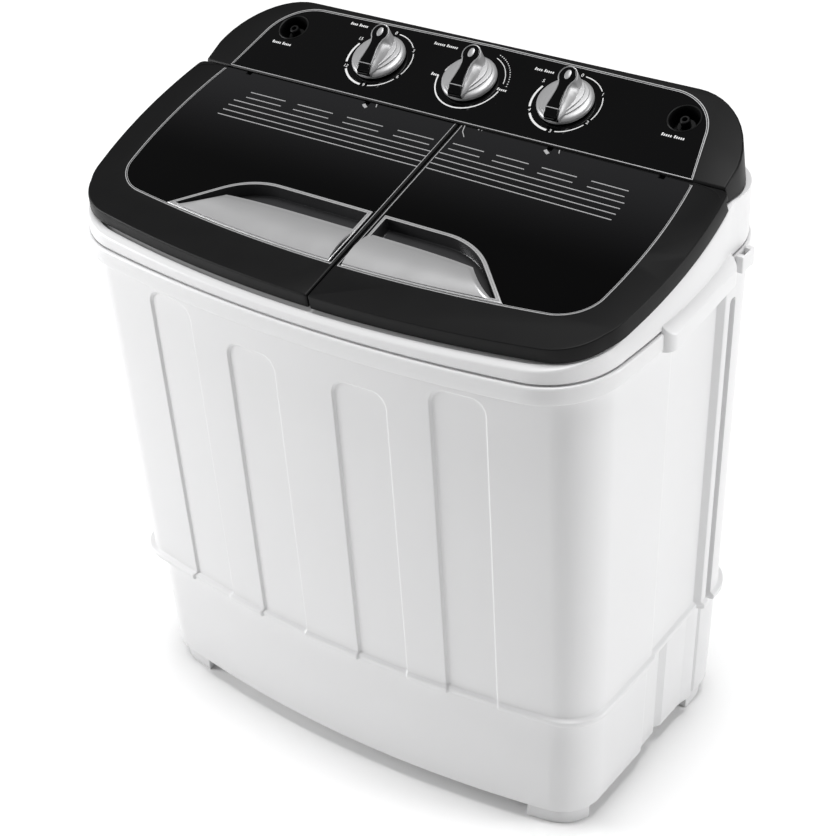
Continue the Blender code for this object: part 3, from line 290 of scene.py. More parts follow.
def loft(name, rings, push=None, cap=False, lid=False, holes=None, matrix=LEVEL):
    """A skin through a list of (outline, level); level gives z from y, and push moves a point."""
    bm = bmesh.new()
    loops = []
    for outline, level in rings:
        loop = []
        for i, (x, y) in enumerate(outline):
            z = level(y) if callable(level) else level
            dx, dy = push(i, x, y, z) if push else (0, 0)
            loop.append(bm.verts.new((x + dx, y + dy, z)))
        loops.append(loop)
    for lower, upper in zip(loops, loops[1:]):
        for i in range(len(lower)):
            j = (i + 1) % len(lower)
            corners = (lower[i], lower[j], upper[j], upper[i])
            middle = sum((v.co for v in corners), Vector()) / 4
            if holes and holes(middle):
                continue
            bm.faces.new(corners)
    if cap:
        bm.faces.new(loops[0][::-1])
    if lid:
        bm.faces.new(loops[-1])
    bmesh.ops.remove_doubles(bm, verts=bm.verts, dist=WELD)
    return new_object(name, bm, matrix)


def walled(obj, thickness):
    """Gives an open skin a wall, inwards."""
    modifier = obj.modifiers.new("wall", "SOLIDIFY")
    modifier.thickness = thickness
    modifier.offset = -1
    return baked(obj)


def merged(name, *objs):
    """Several closed bodies as one mesh."""
    bm = bmesh.new()
    for obj in objs:
        bm.from_mesh(obj.data)
        bpy.data.objects.remove(obj)
    return new_object(name, bm)


def piece(obj, body, slot, material, *nodes, smooth=35):
    """Finishes a piece: its shading, material, body and the CAD nodes that it stands for; slot is not used."""
    obj.data.materials.clear()
    obj.data.materials.append(material)
    obj.data.shade_smooth()
    obj.data.set_sharp_from_angle(angle=math.radians(smooth))
    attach(obj, body)
    if nodes:
        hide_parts(*nodes)
    return obj


def inlay(name, outline, inner, low, high, matrix):
    """A thin raised line: the band between two outlines, as a filled curve."""
    curve = bpy.data.curves.new(name, "CURVE")
    curve.dimensions = "2D"
    curve.fill_mode = "BOTH"
    curve.extrude = (high - low) / 2
    for loop in (outline, inner):
        spline = curve.splines.new("POLY")
        spline.points.add(len(loop) - 1)
        for target, (x, y) in zip(spline.points, loop):
            target.co = (x, y, 0, 1)
        spline.use_cyclic_u = True
    return flat_curve(name, curve, (0, 0, (low + high) / 2), matrix)


def stroke(name, points, width, low, high, matrix):
    """A flat line of even width along a list of points."""
    points = [Vector(p) for p in points]
    left, right = [], []
    for i, point in enumerate(points):
        ahead = points[min(i + 1, len(points) - 1)] - points[max(i - 1, 0)]
        across = Vector((-ahead.y, ahead.x)).normalized() * width / 2
        left.append(tuple(point + across))
        right.append(tuple(point - across))
    return prism(name, right + left[::-1], low, high, matrix)


# ---- Materials ----
def surface(name, colour, roughness, metallic=0.0, grain=700.0, bump=0.00002, vary=0.03, rough_vary=0.06,
            coat=0.0, edge=0.0, specular=0.5):
    """A moulded or metal surface: cloudy tone, a fine grain that bumps it, and uneven gloss.

    colour is the tone's middle, vary its share of change, and edge how much raised edges lighten, a painted
    highlight.
    """
    material = bpy.data.materials.new(name)
    material.use_nodes = True
    nodes, links = material.node_tree.nodes, material.node_tree.links
    shader = nodes["Principled BSDF"]
    shader.inputs["Metallic"].default_value = metallic
    shader.inputs["Specular IOR Level"].default_value = specular
    shader.inputs["Coat Weight"].default_value = coat
    shader.inputs["Coat Roughness"].default_value = 0.05
    place = nodes.new("ShaderNodeTexCoord").outputs["Object"]
    cloud = noise(nodes, links, place, 9.0, 3)
    fine = noise(nodes, links, place, grain, 2)
    tone = nodes.new("ShaderNodeMix")
    tone.data_type = "RGBA"
    tone.inputs[6].default_value = tuple(c * (1 - vary) for c in colour) + (1,)
    tone.inputs[7].default_value = tuple(min(1, c * (1 + vary)) for c in colour) + (1,)
    links.new(cloud, tone.inputs[0])
    out = tone.outputs[2]
    # raised edges are lightened here: a painted highlight
    if edge:
        out = painted_edge_highlight(nodes, links, out, edge, colour)
    links.new(out, shader.inputs["Base Color"])
    gloss = nodes.new("ShaderNodeMapRange")
    gloss.inputs["To Min"].default_value = max(0.02, roughness - rough_vary)
    gloss.inputs["To Max"].default_value = roughness + rough_vary
    links.new(noise(nodes, links, place, 31.0, 4), gloss.inputs["Value"])
    links.new(gloss.outputs["Result"], shader.inputs["Roughness"])
    relief = nodes.new("ShaderNodeBump")
    relief.inputs["Strength"].default_value = 0.6
    relief.inputs["Distance"].default_value = bump
    links.new(fine, relief.inputs["Height"])
    links.new(relief.outputs["Normal"], shader.inputs["Normal"])
    return material


def noise(nodes, links, place, scale, detail, roughness=0.55):
    texture = nodes.new("ShaderNodeTexNoise")
    texture.inputs["Scale"].default_value = scale
    texture.inputs["Detail"].default_value = detail
    texture.inputs["Roughness"].default_value = roughness
    links.new(place, texture.inputs["Vector"])
    return texture.outputs["Fac"]


def painted_edge_highlight(nodes, links, colour_out, amount, colour):
    """Lightens what stands out: a painted highlight along raised edges."""
    geometry = nodes.new("ShaderNodeNewGeometry")
    ramp = nodes.new("ShaderNodeMapRange")
    ramp.inputs["From Min"].default_value = 0.52
    ramp.inputs["From Max"].default_value = 0.62
    ramp.inputs["To Max"].default_value = amount
    links.new(geometry.outputs["Pointiness"], ramp.inputs["Value"])
    mix = nodes.new("ShaderNodeMix")
    mix.data_type = "RGBA"
    mix.inputs[7].default_value = tuple(min(1, c * 1.6 + 0.04) for c in colour) + (1,)
    links.new(ramp.outputs["Result"], mix.inputs[0])
    links.new(colour_out, mix.inputs[6])
    return mix.outputs[2]


def pane_painted_reflection():
    """Gloss black that is a little greyer towards the hinges: a painted reflection."""
    material = surface(
        "pane_painted_reflection", (0.0010, 0.0010, 0.0011), 0.08, grain=300, bump=0.000003, vary=0.10, rough_vary=0.02,
        specular=0.14,
    )
    nodes, links = material.node_tree.nodes, material.node_tree.links
    shader = nodes["Principled BSDF"]
    # the grey that grows towards the rear is a painted reflection
    split = nodes.new("ShaderNodeSeparateXYZ")
    links.new(nodes["Texture Coordinate"].outputs["Object"], split.inputs[0])
    reflection_fade = nodes.new("ShaderNodeMapRange")
    reflection_fade.interpolation_type = "SMOOTHSTEP"
    reflection_fade.inputs["From Min"].default_value = -0.06
    reflection_fade.inputs["From Max"].default_value = 0.07
    links.new(split.outputs["Y"], reflection_fade.inputs["Value"])
    mix = nodes.new("ShaderNodeMix")
    mix.data_type = "RGBA"
    mix.inputs[7].default_value = (0.015, 0.015, 0.016, 1)
    links.new(reflection_fade.outputs["Result"], mix.inputs[0])
    links.new(shader.inputs["Base Color"].links[0].from_socket, mix.inputs[6])
    links.new(mix.outputs[2], shader.inputs["Base Color"])
    return material


# edge lightens a material's raised edges: a painted highlight
WHITE = surface("moulded_white", (0.70, 0.70, 0.705), 0.34, grain=520, bump=0.000025, vary=0.012, edge=0.10)
BLACK = surface(
    "satin_black", (0.0035, 0.0035, 0.0037), 0.46, grain=1500, bump=0.00004, vary=0.10, edge=0.15,
    specular=0.16,
)
GLOSS = surface(
    "gloss_black", (0.0020, 0.0020, 0.0022), 0.07, grain=300, bump=0.000003, vary=0.10, rough_vary=0.02,
    specular=0.28,
)
PANE = pane_painted_reflection()
SILVER = surface(
    "silver_paint", (0.60, 0.60, 0.605), 0.34, metallic=0.60, grain=2600, bump=0.00002, vary=0.03
)
DIAL = surface("dial_silver", (0.42, 0.42, 0.425), 0.42, metallic=0.45, grain=2600, bump=0.00002, vary=0.03)
# a darker silver for the deep faces of the handle's well: painted shade
WELL_PAINTED_SHADE = surface("well_painted_shade", (0.075, 0.075, 0.078), 0.20, metallic=0.55, grain=2600, bump=0.00001, vary=0.05)
# pale silver for the thin raised lines that stand for edge highlights and glints: painted highlights
PAINTED_HIGHLIGHT_LINE = surface("painted_highlight_silver", (0.52, 0.52, 0.525), 0.34, metallic=0.35, grain=2600, bump=0.00001, vary=0.04)
PRINT = surface("white_print", (0.74, 0.74, 0.74), 0.55, grain=2200, bump=0.00001, vary=0.04)
STEEL = surface("bare_steel", (0.50, 0.50, 0.51), 0.28, metallic=1.0, grain=900, bump=0.00004, vary=0.08)
TUB = surface("tub_plastic", (0.66, 0.72, 0.78), 0.36, grain=420, bump=0.00003, vary=0.02, edge=0.10)
RUBBER = surface("black_rubber", (0.018, 0.018, 0.018), 0.72, grain=800, bump=0.00008, vary=0.15)
MOTOR = surface(
    "motor_enamel", (0.055, 0.06, 0.065), 0.42, metallic=0.3, grain=260, bump=0.0001, vary=0.15, edge=0.3
)


# ---- Cabinet and base ----
STRIPS = ((0.183, 0.131, 0.491), (0.087, 0.032, 0.470))  # each side's strips: outer x, inner x and top
STRIP_CORNER, STRIP_DEPTH, STRIP_EDGE = 0.015, 0.0022, 0.0011
GROOVE = (0.0925, 0.1010, 0.493, 0.0090)  # the side's upright groove: its y range, top and depth
BODY_ARC_X = 0.2366  # where the front turns into the corner, at the top
STEPS = eased(
    ((-0.018, 0.0), (-0.012, 0.0), (-0.004, -0.0040), (0.0800, -0.0070), (0.0835, 0.0), (0.0880, 0.0))
)
GROOVE_YS = [0.0905 + 0.0006 * i for i in range(22)]
BODY_SIDE = STEPS + [(y, 0.0) for y in GROOVE_YS] + [(0.1055, 0.0)]
BASE_SIDE = eased(
    ((-0.018, 0.0), (-0.009, 0.0), (-0.003, -0.003), (0.0205, -0.0035), (0.0225, -0.0115), (0.0350, -0.0030),
     (0.0720, -0.0030), (0.0880, 0.0006), (0.0900, -0.0090), (0.0975, -0.0010), (0.1080, 0.0)),
    0.0007,
)


BODY_BACKS = (0.152, 0.137, 0.070)  # x of the rear's points: the rear cover's opening lies inside them


def strip_columns():
    """Where the front's columns stand: close together over the strips' edges and round tops."""
    columns = {round(0.008 * i, 4) for i in range(1, 29)}
    steps = (
        -0.0018, -0.0011, -0.0006, 0.0, 0.0006, 0.0011, 0.0018, 0.003, 0.0045, 0.006, 0.0075, 0.009, 0.0105,
        0.012, 0.014,
    )
    for outer, inner, _ in STRIPS:
        columns = {x for x in columns if not inner - 0.003 < x < outer + 0.003}
        columns |= {round(outer - step, 5) for step in steps} | {round(inner + step, 5) for step in steps}
        columns.add(round((outer + inner) / 2, 5))
    return [x / BODY_ARC_X for x in sorted(columns) if x < BODY_ARC_X - 0.003]


SHARES = strip_columns()


def slot_distance(across, z, half_width, top, radius):
    """Signed distance to a tall slot with a round-cornered top, negative inside."""
    if z <= top - radius:
        return abs(across) - half_width
    over = max(abs(across) - (half_width - radius), 0.0)
    return math.hypot(over, z - (top - radius)) - radius


def smooth_step(value, low, high):
    share = min(1.0, max(0.0, (value - low) / (high - low)))
    return share * share * (3 - 2 * share)


def strip_depth(u, z):
    deepest = 0.0
    for outer, inner, top in STRIPS:
        away = slot_distance(abs(u) - (outer + inner) / 2, z, (outer - inner) / 2, top, STRIP_CORNER)
        deepest = max(deepest, STRIP_DEPTH * smooth_step(-away, -STRIP_EDGE, STRIP_EDGE))
    return deepest


def body_plan(z, inset=0.0, flare=0.0):
    share = (z - BODY_FOOT_Z) / (BODY_TOP_Z - BODY_FOOT_Z)
    return plan(
        0.2745 + 0.0090 * share + flare, -0.1550 - 0.0115 * share - flare, 0.1530 + 0.0015 * share + flare,
        0.042 + 0.006 * share, 0.046, side=BODY_SIDE, inset=inset, shares=SHARES, backs=BODY_BACKS,
    )


def base_plan(z, inset=0.0, side=BASE_SIDE):
    share = (z - BASE_FOOT_Z) / (BODY_FOOT_Z - BASE_FOOT_Z)
    return plan(
        0.2655 + 0.0040 * share, -0.1470 - 0.0025 * share, 0.1490 + 0.0015 * share, 0.044, 0.036,
        side=side, inset=inset, backs=(0.180, 0.060),
    )


def collar_foot(y):
    return COLLAR_FOOT_Z + COLLAR_RISE * (y - COLLAR_FRONT)


def body_push(i, x, y, z):
    """The strips on the front and the grooves on the sides, pressed in."""
    count = len(SHARES)
    first = 1 + count + FRONT_ARC + 1
    total = 2 * (first - 1 + len(BODY_SIDE) + REAR_ARC + 1 + len(BODY_BACKS)) + 1
    index = i if i <= total // 2 else total - i
    if 1 <= index <= count:
        return 0.0, strip_depth(SHARES[index - 1] * BODY_ARC_X, z)
    if first <= index < first + len(BODY_SIDE):
        low, high, top, deep = GROOVE
        away = slot_distance(y - (low + high) / 2, z, (high - low) / 2, top, (high - low) / 2)
        return -math.copysign(deep * smooth_step(-away, -0.0007, 0.0007), x), 0.0
    return 0.0, 0.0


def behind_cover(point):
    """Whether a point of the shell lies in the opening that the rear cover closes."""
    return point.y > 0.148 and abs(point.x) < 0.137 and 0.198 < point.z < 0.428


def build_cabinet():
    foot, lip = BODY_FOOT_Z, 0.004
    rings = [(body_plan(foot, inset=0.004), foot + 0.0005), (body_plan(foot, flare=lip - 0.0012), foot)]
    rings += [(body_plan(foot, flare=lip), foot + 0.0012), (body_plan(foot, flare=lip), foot + 0.0050)]
    rings += [
        (body_plan(foot, flare=lip - 0.0010), foot + 0.0062), (body_plan(foot, flare=0.0006), foot + 0.0072)
    ]
    start, front_top = foot + 0.0085, collar_foot(-0.165) + 0.010
    heights = [start, 0.165, 0.185, 0.1978] + [0.22 + 0.02 * i for i in range(10)]
    heights += [0.4117, 0.43, 0.445] + [0.452 + 0.001 * i for i in range(44)] + [0.500, front_top]
    for height in heights:
        share = (height - start) / (front_top - start)
        top = foot + (BODY_TOP_Z - foot) * share
        rings.append((body_plan(top), lambda y, s=share: start + (collar_foot(y) + 0.010 - start) * s))
    skin = loft("cabinet", rings, body_push, holes=behind_cover)
    piece(walled(skin, 0.0025), "machine", "white_plastic", WHITE, "cabinet_shell", smooth=60)


def build_base():
    foot, top = BASE_FOOT_Z, BODY_FOOT_Z - 0.003
    rings = [(base_plan(foot, inset=0.0030), foot), (base_plan(foot, inset=0.0008), foot + 0.0006)]
    rings += [(base_plan(foot), foot + 0.0024)]
    rings += [(base_plan(foot + (top - foot) * i / 6), foot + (top - foot) * i / 6) for i in range(1, 7)]
    rings += [(base_plan(top, inset=0.0060), top + 0.0004), (base_plan(top, inset=0.0165), top + 0.0004)]
    rings += [(base_plan(top, inset=0.0165), top + 0.020)]
    base = walled(loft("base_pan", rings, cap=True), 0.0025)
    holes = []
    for node, radius in (("drain_spout", 0.0140), ("cord_gland", 0.0082)):
        centre = centre_of(node)
        rear = Matrix.Translation((centre.x, 0.15, centre.z)) @ Matrix.Rotation(math.pi / 2, 4, "X")
        holes.append(rod(f"{node}_hole", radius, 0.05, -0.05, matrix=rear))
    piece(cut(base, *holes), "machine", "white_plastic", WHITE, "base", smooth=50)
    for side, x_sign in (("left", -1), ("right", 1)):
        for end, y_sign in (("front", -1), ("rear", 1)):
            build_foot(f"foot_{end}_{side}", x_sign, y_sign)


def centre_of(node):
    low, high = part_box(node)
    return (low + high) / 2


def build_foot(node, x_sign, y_sign):
    """A corner block with a small chamfer at the floor, below the base's corner."""
    side = tuple((y, 0.0) for y, _ in BASE_SIDE)
    outline = base_plan(BASE_FOOT_Z, inset=0.006, side=side)
    outline = clipped(outline, x_sign * 0.200, x_sign)
    turned_round = clipped([(y, x) for x, y in outline], y_sign * 0.092, y_sign)
    block = prism(f"{node}_pad", [(x, y) for y, x in turned_round], 0.0, BASE_FOOT_Z - 0.0002)
    eased_edges(block, 0.0016, 3)
    piece(block, "machine", "white_plastic", WHITE, node)


def build_rear_cover():
    """The louvred plate on the back, with pressed hoods over its slots, and its four screws."""
    low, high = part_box("rear_cover")
    back = Matrix.Translation((0, high.y, 0)) @ Matrix.Rotation(math.pi / 2, 4, "X")
    plate = prism("plate", rounded(low.x, low.z, high.x, high.z, 0.010), 0, high.y - low.y, back)
    slots = []
    hoods = []
    for row in range(4):
        for column in range(3):
            x, z = -0.100 + column * 0.080, 0.215 + row * 0.014
            slots.append(box("slot", (x, z, -0.01), (x + 0.040, z + 0.005, 0.02), back))
            hood = prism(
                "hood",
                rounded(x + 0.0005, z + 0.0042, x + 0.0395, z + 0.0062, 0.0009, 3),
                -0.0002,
                0.0030,
                back,
            )
            hoods.append(hood)
    cut(plate, merged("slots", *slots))
    eased_edges(plate, 0.0010, 2)
    piece(merged("rear_cover_plate", plate, *hoods), "machine", "white_plastic", WHITE, "rear_cover")
    for i in range(1, 5):
        build_screw(f"rear_cover_screw_{i}")


def build_screw(node):
    """A pan head with a cross recess."""
    low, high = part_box(node)
    centre = (low + high) / 2
    radius, depth = (high.x - low.x) / 2, 0.0026
    matrix = Matrix.Translation((centre.x, high.y, centre.z)) @ Matrix.Rotation(-math.pi / 2, 4, "X")
    head = turned(
        "head",
        [
            (0, 0), (radius * 0.55, -0.0002), (radius * 0.85, -0.0009), (radius, -0.0018), (radius, -depth),
            (0.0017, -depth), (0.0017, -0.018), (0, -0.020),
        ],
        matrix=matrix,
        steps=28,
    )
    cross = [box("cross", (-0.0019, -0.0005, -0.0014), (0.0019, 0.0005, 0.001), matrix),
             box("cross", (-0.0005, -0.0019, -0.0013), (0.0005, 0.0019, 0.001), matrix)]
    cut(head, *cross)
    head.name = f"{node}_head"
    piece(head, "machine", "steel", STEEL, node)


# ---- Collar ----
def lid_plane_z(y, drop):
    """The height of the plane that lies drop under the lids' top, square to it."""
    return LID_REAR_Z + (y - LID_REAR_Y) * math.tan(LID_SLOPE) - drop / math.cos(LID_SLOPE)


COLLAR_SIDE = [(-0.075 + 0.010 * i, 0.0) for i in range(17)]


def collar_plan(inset=0.0, swell=0.0055):
    outline = plan(
        COLLAR_HALF, COLLAR_FRONT, COLLAR_REAR, 0.074, 0.064, side=COLLAR_SIDE, inset=inset,
        backs=(0.15, 0.05),
    )
    return bowed(outline, swell, -0.010, 0.085)


def band_top(y, drop=0.001):
    return min(CONSOLE_FLOOR_Z, lid_plane_z(y, LID_DEPTH + drop))


def build_collar():
    """The two bands round the machine's shoulder, with the narrow groove between them."""
    band = BAND_HEIGHT
    profile = [
        (0.0060, 0.0030), (0.0050, 0.0), (0.0014, 0.0), (0.0004, 0.0005), (0.0, 0.0015), (0.0, band - 0.0035),
        (0.0004, band - 0.0020), (0.0014, band - 0.0012), (0.0032, band - 0.0012), (0.0042, band - 0.0022),
        (0.0050, band - 0.0022), (0.0050, band + 0.0004), (0.0030, band + 0.0006), (0.0022, band + 0.0014),
        (0.0022, band + 0.0024),
    ]
    rings = [(collar_plan(inset), lambda y, rise=rise: collar_foot(y) + rise) for inset, rise in profile]
    for inset, drop in (
        (0.0026, 0.0022), (0.0030, 0.0012), (0.0040, 0.0004), (0.0100, 0.0004), (0.0104, 0.0010)
    ):
        rings.append((collar_plan(inset, 0.0080), lambda y, d=drop: band_top(y, 0.001 + d)))
    rings.append(
        (collar_plan(0.0104, 0.0080), lambda y: min(CONSOLE_FLOOR_Z - 0.003, lid_plane_z(y, DECK_DROP)))
    )
    skin = loft("collar", rings)
    piece(walled(skin, 0.0018), "machine", "white_plastic", WHITE, "top_frame", smooth=50)
    build_deck()
    build_ledges()


def build_deck():
    """The sloping deck under the lids, with the two openings, their skirts and the hinge lugs."""
    tall = 0.70
    deck = prism("deck", collar_plan(0.0106), 0.50, tall)
    normal = Vector((0, -math.sin(LID_SLOPE), math.cos(LID_SLOPE)))
    rear = Vector((0, LID_REAR_Y, LID_REAR_Z))
    sliced(deck, rear - normal * DECK_DROP, normal)
    sliced(deck, rear - normal * (DECK_DROP + 0.003), -normal)
    sliced(deck, (0, 0.0835, 0), (0, 1, 0))
    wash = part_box("wash_tub")
    wash_x, wash_y = (wash[0].x + wash[1].x) / 2, (wash[0].y + wash[1].y) / 2
    spin = centre_of("spin_outer_tub")
    opening = (wash_x - 0.110, wash_y - 0.103, wash_x + 0.110, wash_y + 0.063)
    x_low, y_low, x_high, y_high = opening
    wall = 0.003
    skirt = prism(
        "skirt", rounded(x_low - wall, y_low - wall, x_high + wall, y_high + wall, 0.043), TUB_RIM_Z, tall
    )
    sliced(skirt, rear - normal * (DECK_DROP + 0.001), normal)
    join(deck, skirt)
    ring = rod("ring", 0.0895, tall, TUB_RIM_Z, at=(spin.x, spin.y, 0), steps=96)
    sliced(ring, rear - normal * (DECK_DROP + 0.001), normal)
    join(deck, ring)
    hole = prism("hole", rounded(*opening, 0.040, 12), 0.45, tall)
    bore = rod("bore", 0.0865, tall, 0.45, at=(spin.x, spin.y, 0), steps=96)
    cut(deck, hole, bore)
    eased_edges(deck, 0.0009, 2, 40)
    lugs = [hinge_lug(x) for x in WASH_LUGS + SPIN_LUGS]
    piece(merged("deck_plate", deck, *lugs), "machine", "white_plastic", WHITE, "top_frame", smooth=40)


def hinge_axis(x):
    """A frame on the lids' axis at x, whose Z runs along it."""
    return LID @ Matrix.Translation((x, HINGE_S, HINGE_Z)) @ Matrix.Rotation(math.pi / 2, 4, "Y")


def hinge_lug(x):
    radius = 0.0032
    outline = [(HINGE_S - radius, -DECK_DROP - 0.002), (HINGE_S + radius, -DECK_DROP - 0.002)]
    outline += arc((HINGE_S, HINGE_Z), radius, 0, 180, 12)
    lug = prism("lug", outline, -0.0025, 0.0025, LID @ Matrix.Translation((x, 0, 0)) @ UPRIGHT)
    return eased_edges(lug, 0.0004, 2)


def build_ledges():
    """The flared ledges at the sides by which the machine is lifted."""
    outer = COLLAR_HIGH.x
    inner, front, rear, corner = COLLAR_HALF - 0.0065, -0.048, 0.074, 0.010
    outline = [(inner, front)] + arc((outer - corner, front + corner), corner, -90, 0, 12)
    outline += arc((outer - corner, rear - corner), corner, 0, 90, 12) + [(inner, rear)]
    for side, sign in (("left", -1), ("right", 1)):
        ledge = prism(f"carry_ledge_{side}", [(sign * x, y) for x, y in outline], 0.45, 0.60)
        sliced(ledge, (0, COLLAR_FRONT, COLLAR_FOOT_Z - 0.0015), (0, COLLAR_RISE, -1))
        flare = Vector((sign * 0.9, -COLLAR_RISE, 1)).normalized()
        sliced(ledge, (sign * outer, COLLAR_FRONT, COLLAR_FOOT_Z + 0.0145), flare)
        eased_edges(ledge, 0.0011, 3)
        piece(ledge, "machine", "white_plastic", WHITE, "top_frame")


def build_hose_hook():
    low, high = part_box("hose_hook")
    block = prism("hook", rounded(low.x, low.y, high.x, high.y, 0.0015, 4), low.z, high.z)
    slot = box(
        "slot",
        (low.x - 0.003, low.y + 0.0055, low.z + 0.0055),
        (high.x - 0.0017, high.y - 0.0055, high.z + 0.01),
    )
    cut(block, slot)
    eased_edges(block, 0.0006, 2)
    block.name = "drain_hose_clip"
    piece(block, "machine", "white_plastic", WHITE, "hose_hook")


# ---- Console ----
def console_plan(inset=0.0):
    """The console narrows towards the rear."""
    outline = plan(0.2868, -0.170, 0.1560, 0.060, 0.066, inset=inset)
    return [(x * (1 - 0.45 * max(0.0, y - 0.060)), y) for x, y in outline]


def fascia_outline(inset=0.0, low=0.0014):
    """The gloss panel in the panel's own frame: its sides lean in and its top corners are round."""
    radius = 0.0500
    right = [(0.2518 - 0.214 * low - inset, low + inset)]
    right += arc((0.1922, 0.0405), radius - inset, 12, 90, 20)
    return right + [(0, 0.0935 - inset)] + [(-x, v) for x, v in reversed(right)]


def open_line(name, outer, inner, low, high, matrix):
    """A raised band that follows an outline but leaves out its closing side."""
    return prism(name, outer + inner[::-1], low, high, matrix)


def build_console():
    tall = 0.75
    normal = Vector((0, -math.sin(PANEL_TILT), math.cos(PANEL_TILT)))
    origin = Vector((0, LID_REAR_Y, LID_REAR_Z))
    housing = prism("console", console_plan(), CONSOLE_FLOOR_Z, tall)
    sliced(housing, origin, normal)
    sliced(housing, (0, LID_REAR_Y + 0.0006, 0), (0, -1, 0))
    eased_edges(housing, 0.0024, 4, 40)
    for vertex in housing.data.vertices:  # the sides spread a little towards the foot
        drop = LID_REAR_Z + (vertex.co.y - LID_REAR_Y) * math.tan(PANEL_TILT) - vertex.co.z
        if abs(vertex.co.x) > 0.15:
            vertex.co.x += math.copysign(min(0.0040, 0.14 * max(0.0, drop - 0.003)), vertex.co.x)
    seat = prism("seat", fascia_outline(), -0.0030, 0.05, PANEL)
    cove = rod("cove", 0.0075, 0.30, -0.30, matrix=hinge_axis(0))
    inlets = [(x, INLET_V, INLET_RADIUS) for x in (-INLET_X, INLET_X)]
    wells = [rod("well", radius, 0.02, -0.0285, at=(x, v, 0), matrix=PANEL) for x, v, radius in inlets]
    hollow = prism("hollow", console_plan(0.003), 0.55, tall)
    sliced(hollow, origin - normal * 0.034, normal)
    sliced(hollow, (0, LID_REAR_Y + 0.012, 0), (0, -1, 0))
    cut(housing, seat, cove, hollow, *wells)
    piece(housing, "machine", "black_plastic", BLACK, "console_housing", smooth=40)
    fascia = prism("fascia_panel", fascia_outline(0.0003), -0.0027, 0.0002, PANEL)
    shafts = [(x, KNOB_V, 0.006) for x in (-KNOB_PITCH, 0, KNOB_PITCH)]
    bores = [rod("bore", radius, 0.01, -0.01, at=(x, v, 0), matrix=PANEL) for x, v, radius in inlets + shafts]
    cut(fascia, *bores)
    piece(fascia, "machine", "gloss_black", GLOSS, "console_fascia")
    # the pale lines round the fascia and along the joint are painted highlights of its groove and front edge
    top = 0.0002 + SEAM
    line = open_line("fascia_line", fascia_outline(-0.0002), fascia_outline(0.0006), 0.0, top, PANEL)
    second = open_line("fascia_line", fascia_outline(0.0014), fascia_outline(0.0020), 0.0001, 0.0004, PANEL)
    joint = box("joint_line", (-0.2515, 0.0012, -0.0003), (0.2515, 0.0019, 0.0003), PANEL)
    piece(merged("console_painted_highlights", line, second, joint), "machine", "silver_plastic", PAINTED_HIGHLIGHT_LINE)
    for side, x in (("left", -INLET_X), ("right", INLET_X)):
        build_inlet(f"inlet_{side}", x)
    build_dial_marks()


def build_inlet(node, x):
    """The cup that the fill hose pushes into: a rolled lip, a stepped bore and its spigot."""
    r = INLET_RADIUS - 0.0003
    profile = [
        (0.0038, -0.0010), (0.0045, -0.0018), (0.0045, -0.0100), (0.0080, -0.0100), (0.0080, -0.0128),
        (0.0092, -0.0136), (0.0092, -0.0165), (r - 0.0024, -0.0165), (r - 0.0022, -0.0040),
        (r - 0.0014, 0.0004), (r - 0.0006, 0.0008), (r, 0.0003), (r, -0.0190), (0.0060, -0.0190),
        (0.0060, -0.0240), (0.0026, -0.0240), (0.0026, -0.0010),
    ]
    piece(
        turned(f"{node}_cup", profile, at=(x, INLET_V, 0), matrix=PANEL),
        "machine",
        "black_plastic",
        BLACK,
        node,
    )


def digit(text, x, v, size, low):
    """A printed numeral, as a thin raised mesh."""
    curve = bpy.data.curves.new("numeral", "FONT")
    curve.body = text
    curve.size = size
    curve.align_x = "CENTER"
    curve.align_y = "CENTER"
    curve.extrude = PRINT_HEIGHT / 2
    curve.resolution_u = 3
    return flat_curve("numeral", curve, (x, v, low + PRINT_HEIGHT / 2), PANEL)


RING_RADIUS = 0.0336
TIMER_MARKS = ((92, 0), (33, 1), (-27, 2), (-87, 3), (-151, 4), (-209, 5))  # angle from +X, and its order


def build_dial_marks():
    """White print round the knobs: rings that break at their numerals, thicker over the long settings."""
    low = 0.0002
    printed = []

    def ring(x, start, end, width, radius=RING_RADIUS):
        count = max(4, int(abs(end - start) / 3))
        printed.append(
            stroke(
                "ring", arc((x, KNOB_V), radius, start, end, count), width, low, low + PRINT_HEIGHT, PANEL
            ),
        )

    for x, step in ((-KNOB_PITCH, 3), (KNOB_PITCH, 1)):
        for angle, order in TIMER_MARKS:
            a = math.radians(angle)
            reach = RING_RADIUS + (0.0045 if order == 5 else 0.0006 if order == 0 else 0)
            at = (x + reach * math.cos(a), KNOB_V + reach * math.sin(a))
            printed.append(digit(str(order * step), *at, 0.0052, low))
        for (a, order), (b, _) in zip(TIMER_MARKS, TIMER_MARKS[1:]):
            wide = 0.0020 if order >= 3 else 0.0010
            ring(x, a - (9 if order * step > 9 else 7), b + 7, wide)
    ring(0, 172, 112, 0.0007, RING_RADIUS - 0.0030)
    ring(0, 70, 8, 0.0008, RING_RADIUS)
    ring(0, -8, -176, 0.0013)
    for i in range(16):
        a = math.radians(70 - 4.4 * i)
        reach = 1.13 * RING_RADIUS
        dot = arc((reach * math.cos(a), KNOB_V + reach * math.sin(a)), 0.0006, 0, 315, 7)
        printed.append(prism("dot", dot, low, low + PRINT_HEIGHT, PANEL))
    for x, v, words in label_places():
        printed += caption(x, v, words, low)
    piece(merged("dial_print", *printed), "machine", "silver_plastic", PRINT)


def label_places():
    """Where a real panel carries its captions, and how long their words are."""
    knobs = [(-0.1464, 0.0822, (4, 5)), (-0.0455, 0.0812, (6, 6)), (0.0640, 0.0782, (4, 5))]
    ends = [(-0.0372, 0.0460, (4,)), (0.0360, 0.0462, (5,))]
    return knobs + ends + [(x, INLET_V - 0.0220, (5, 5)) for x in (-INLET_X, INLET_X)]


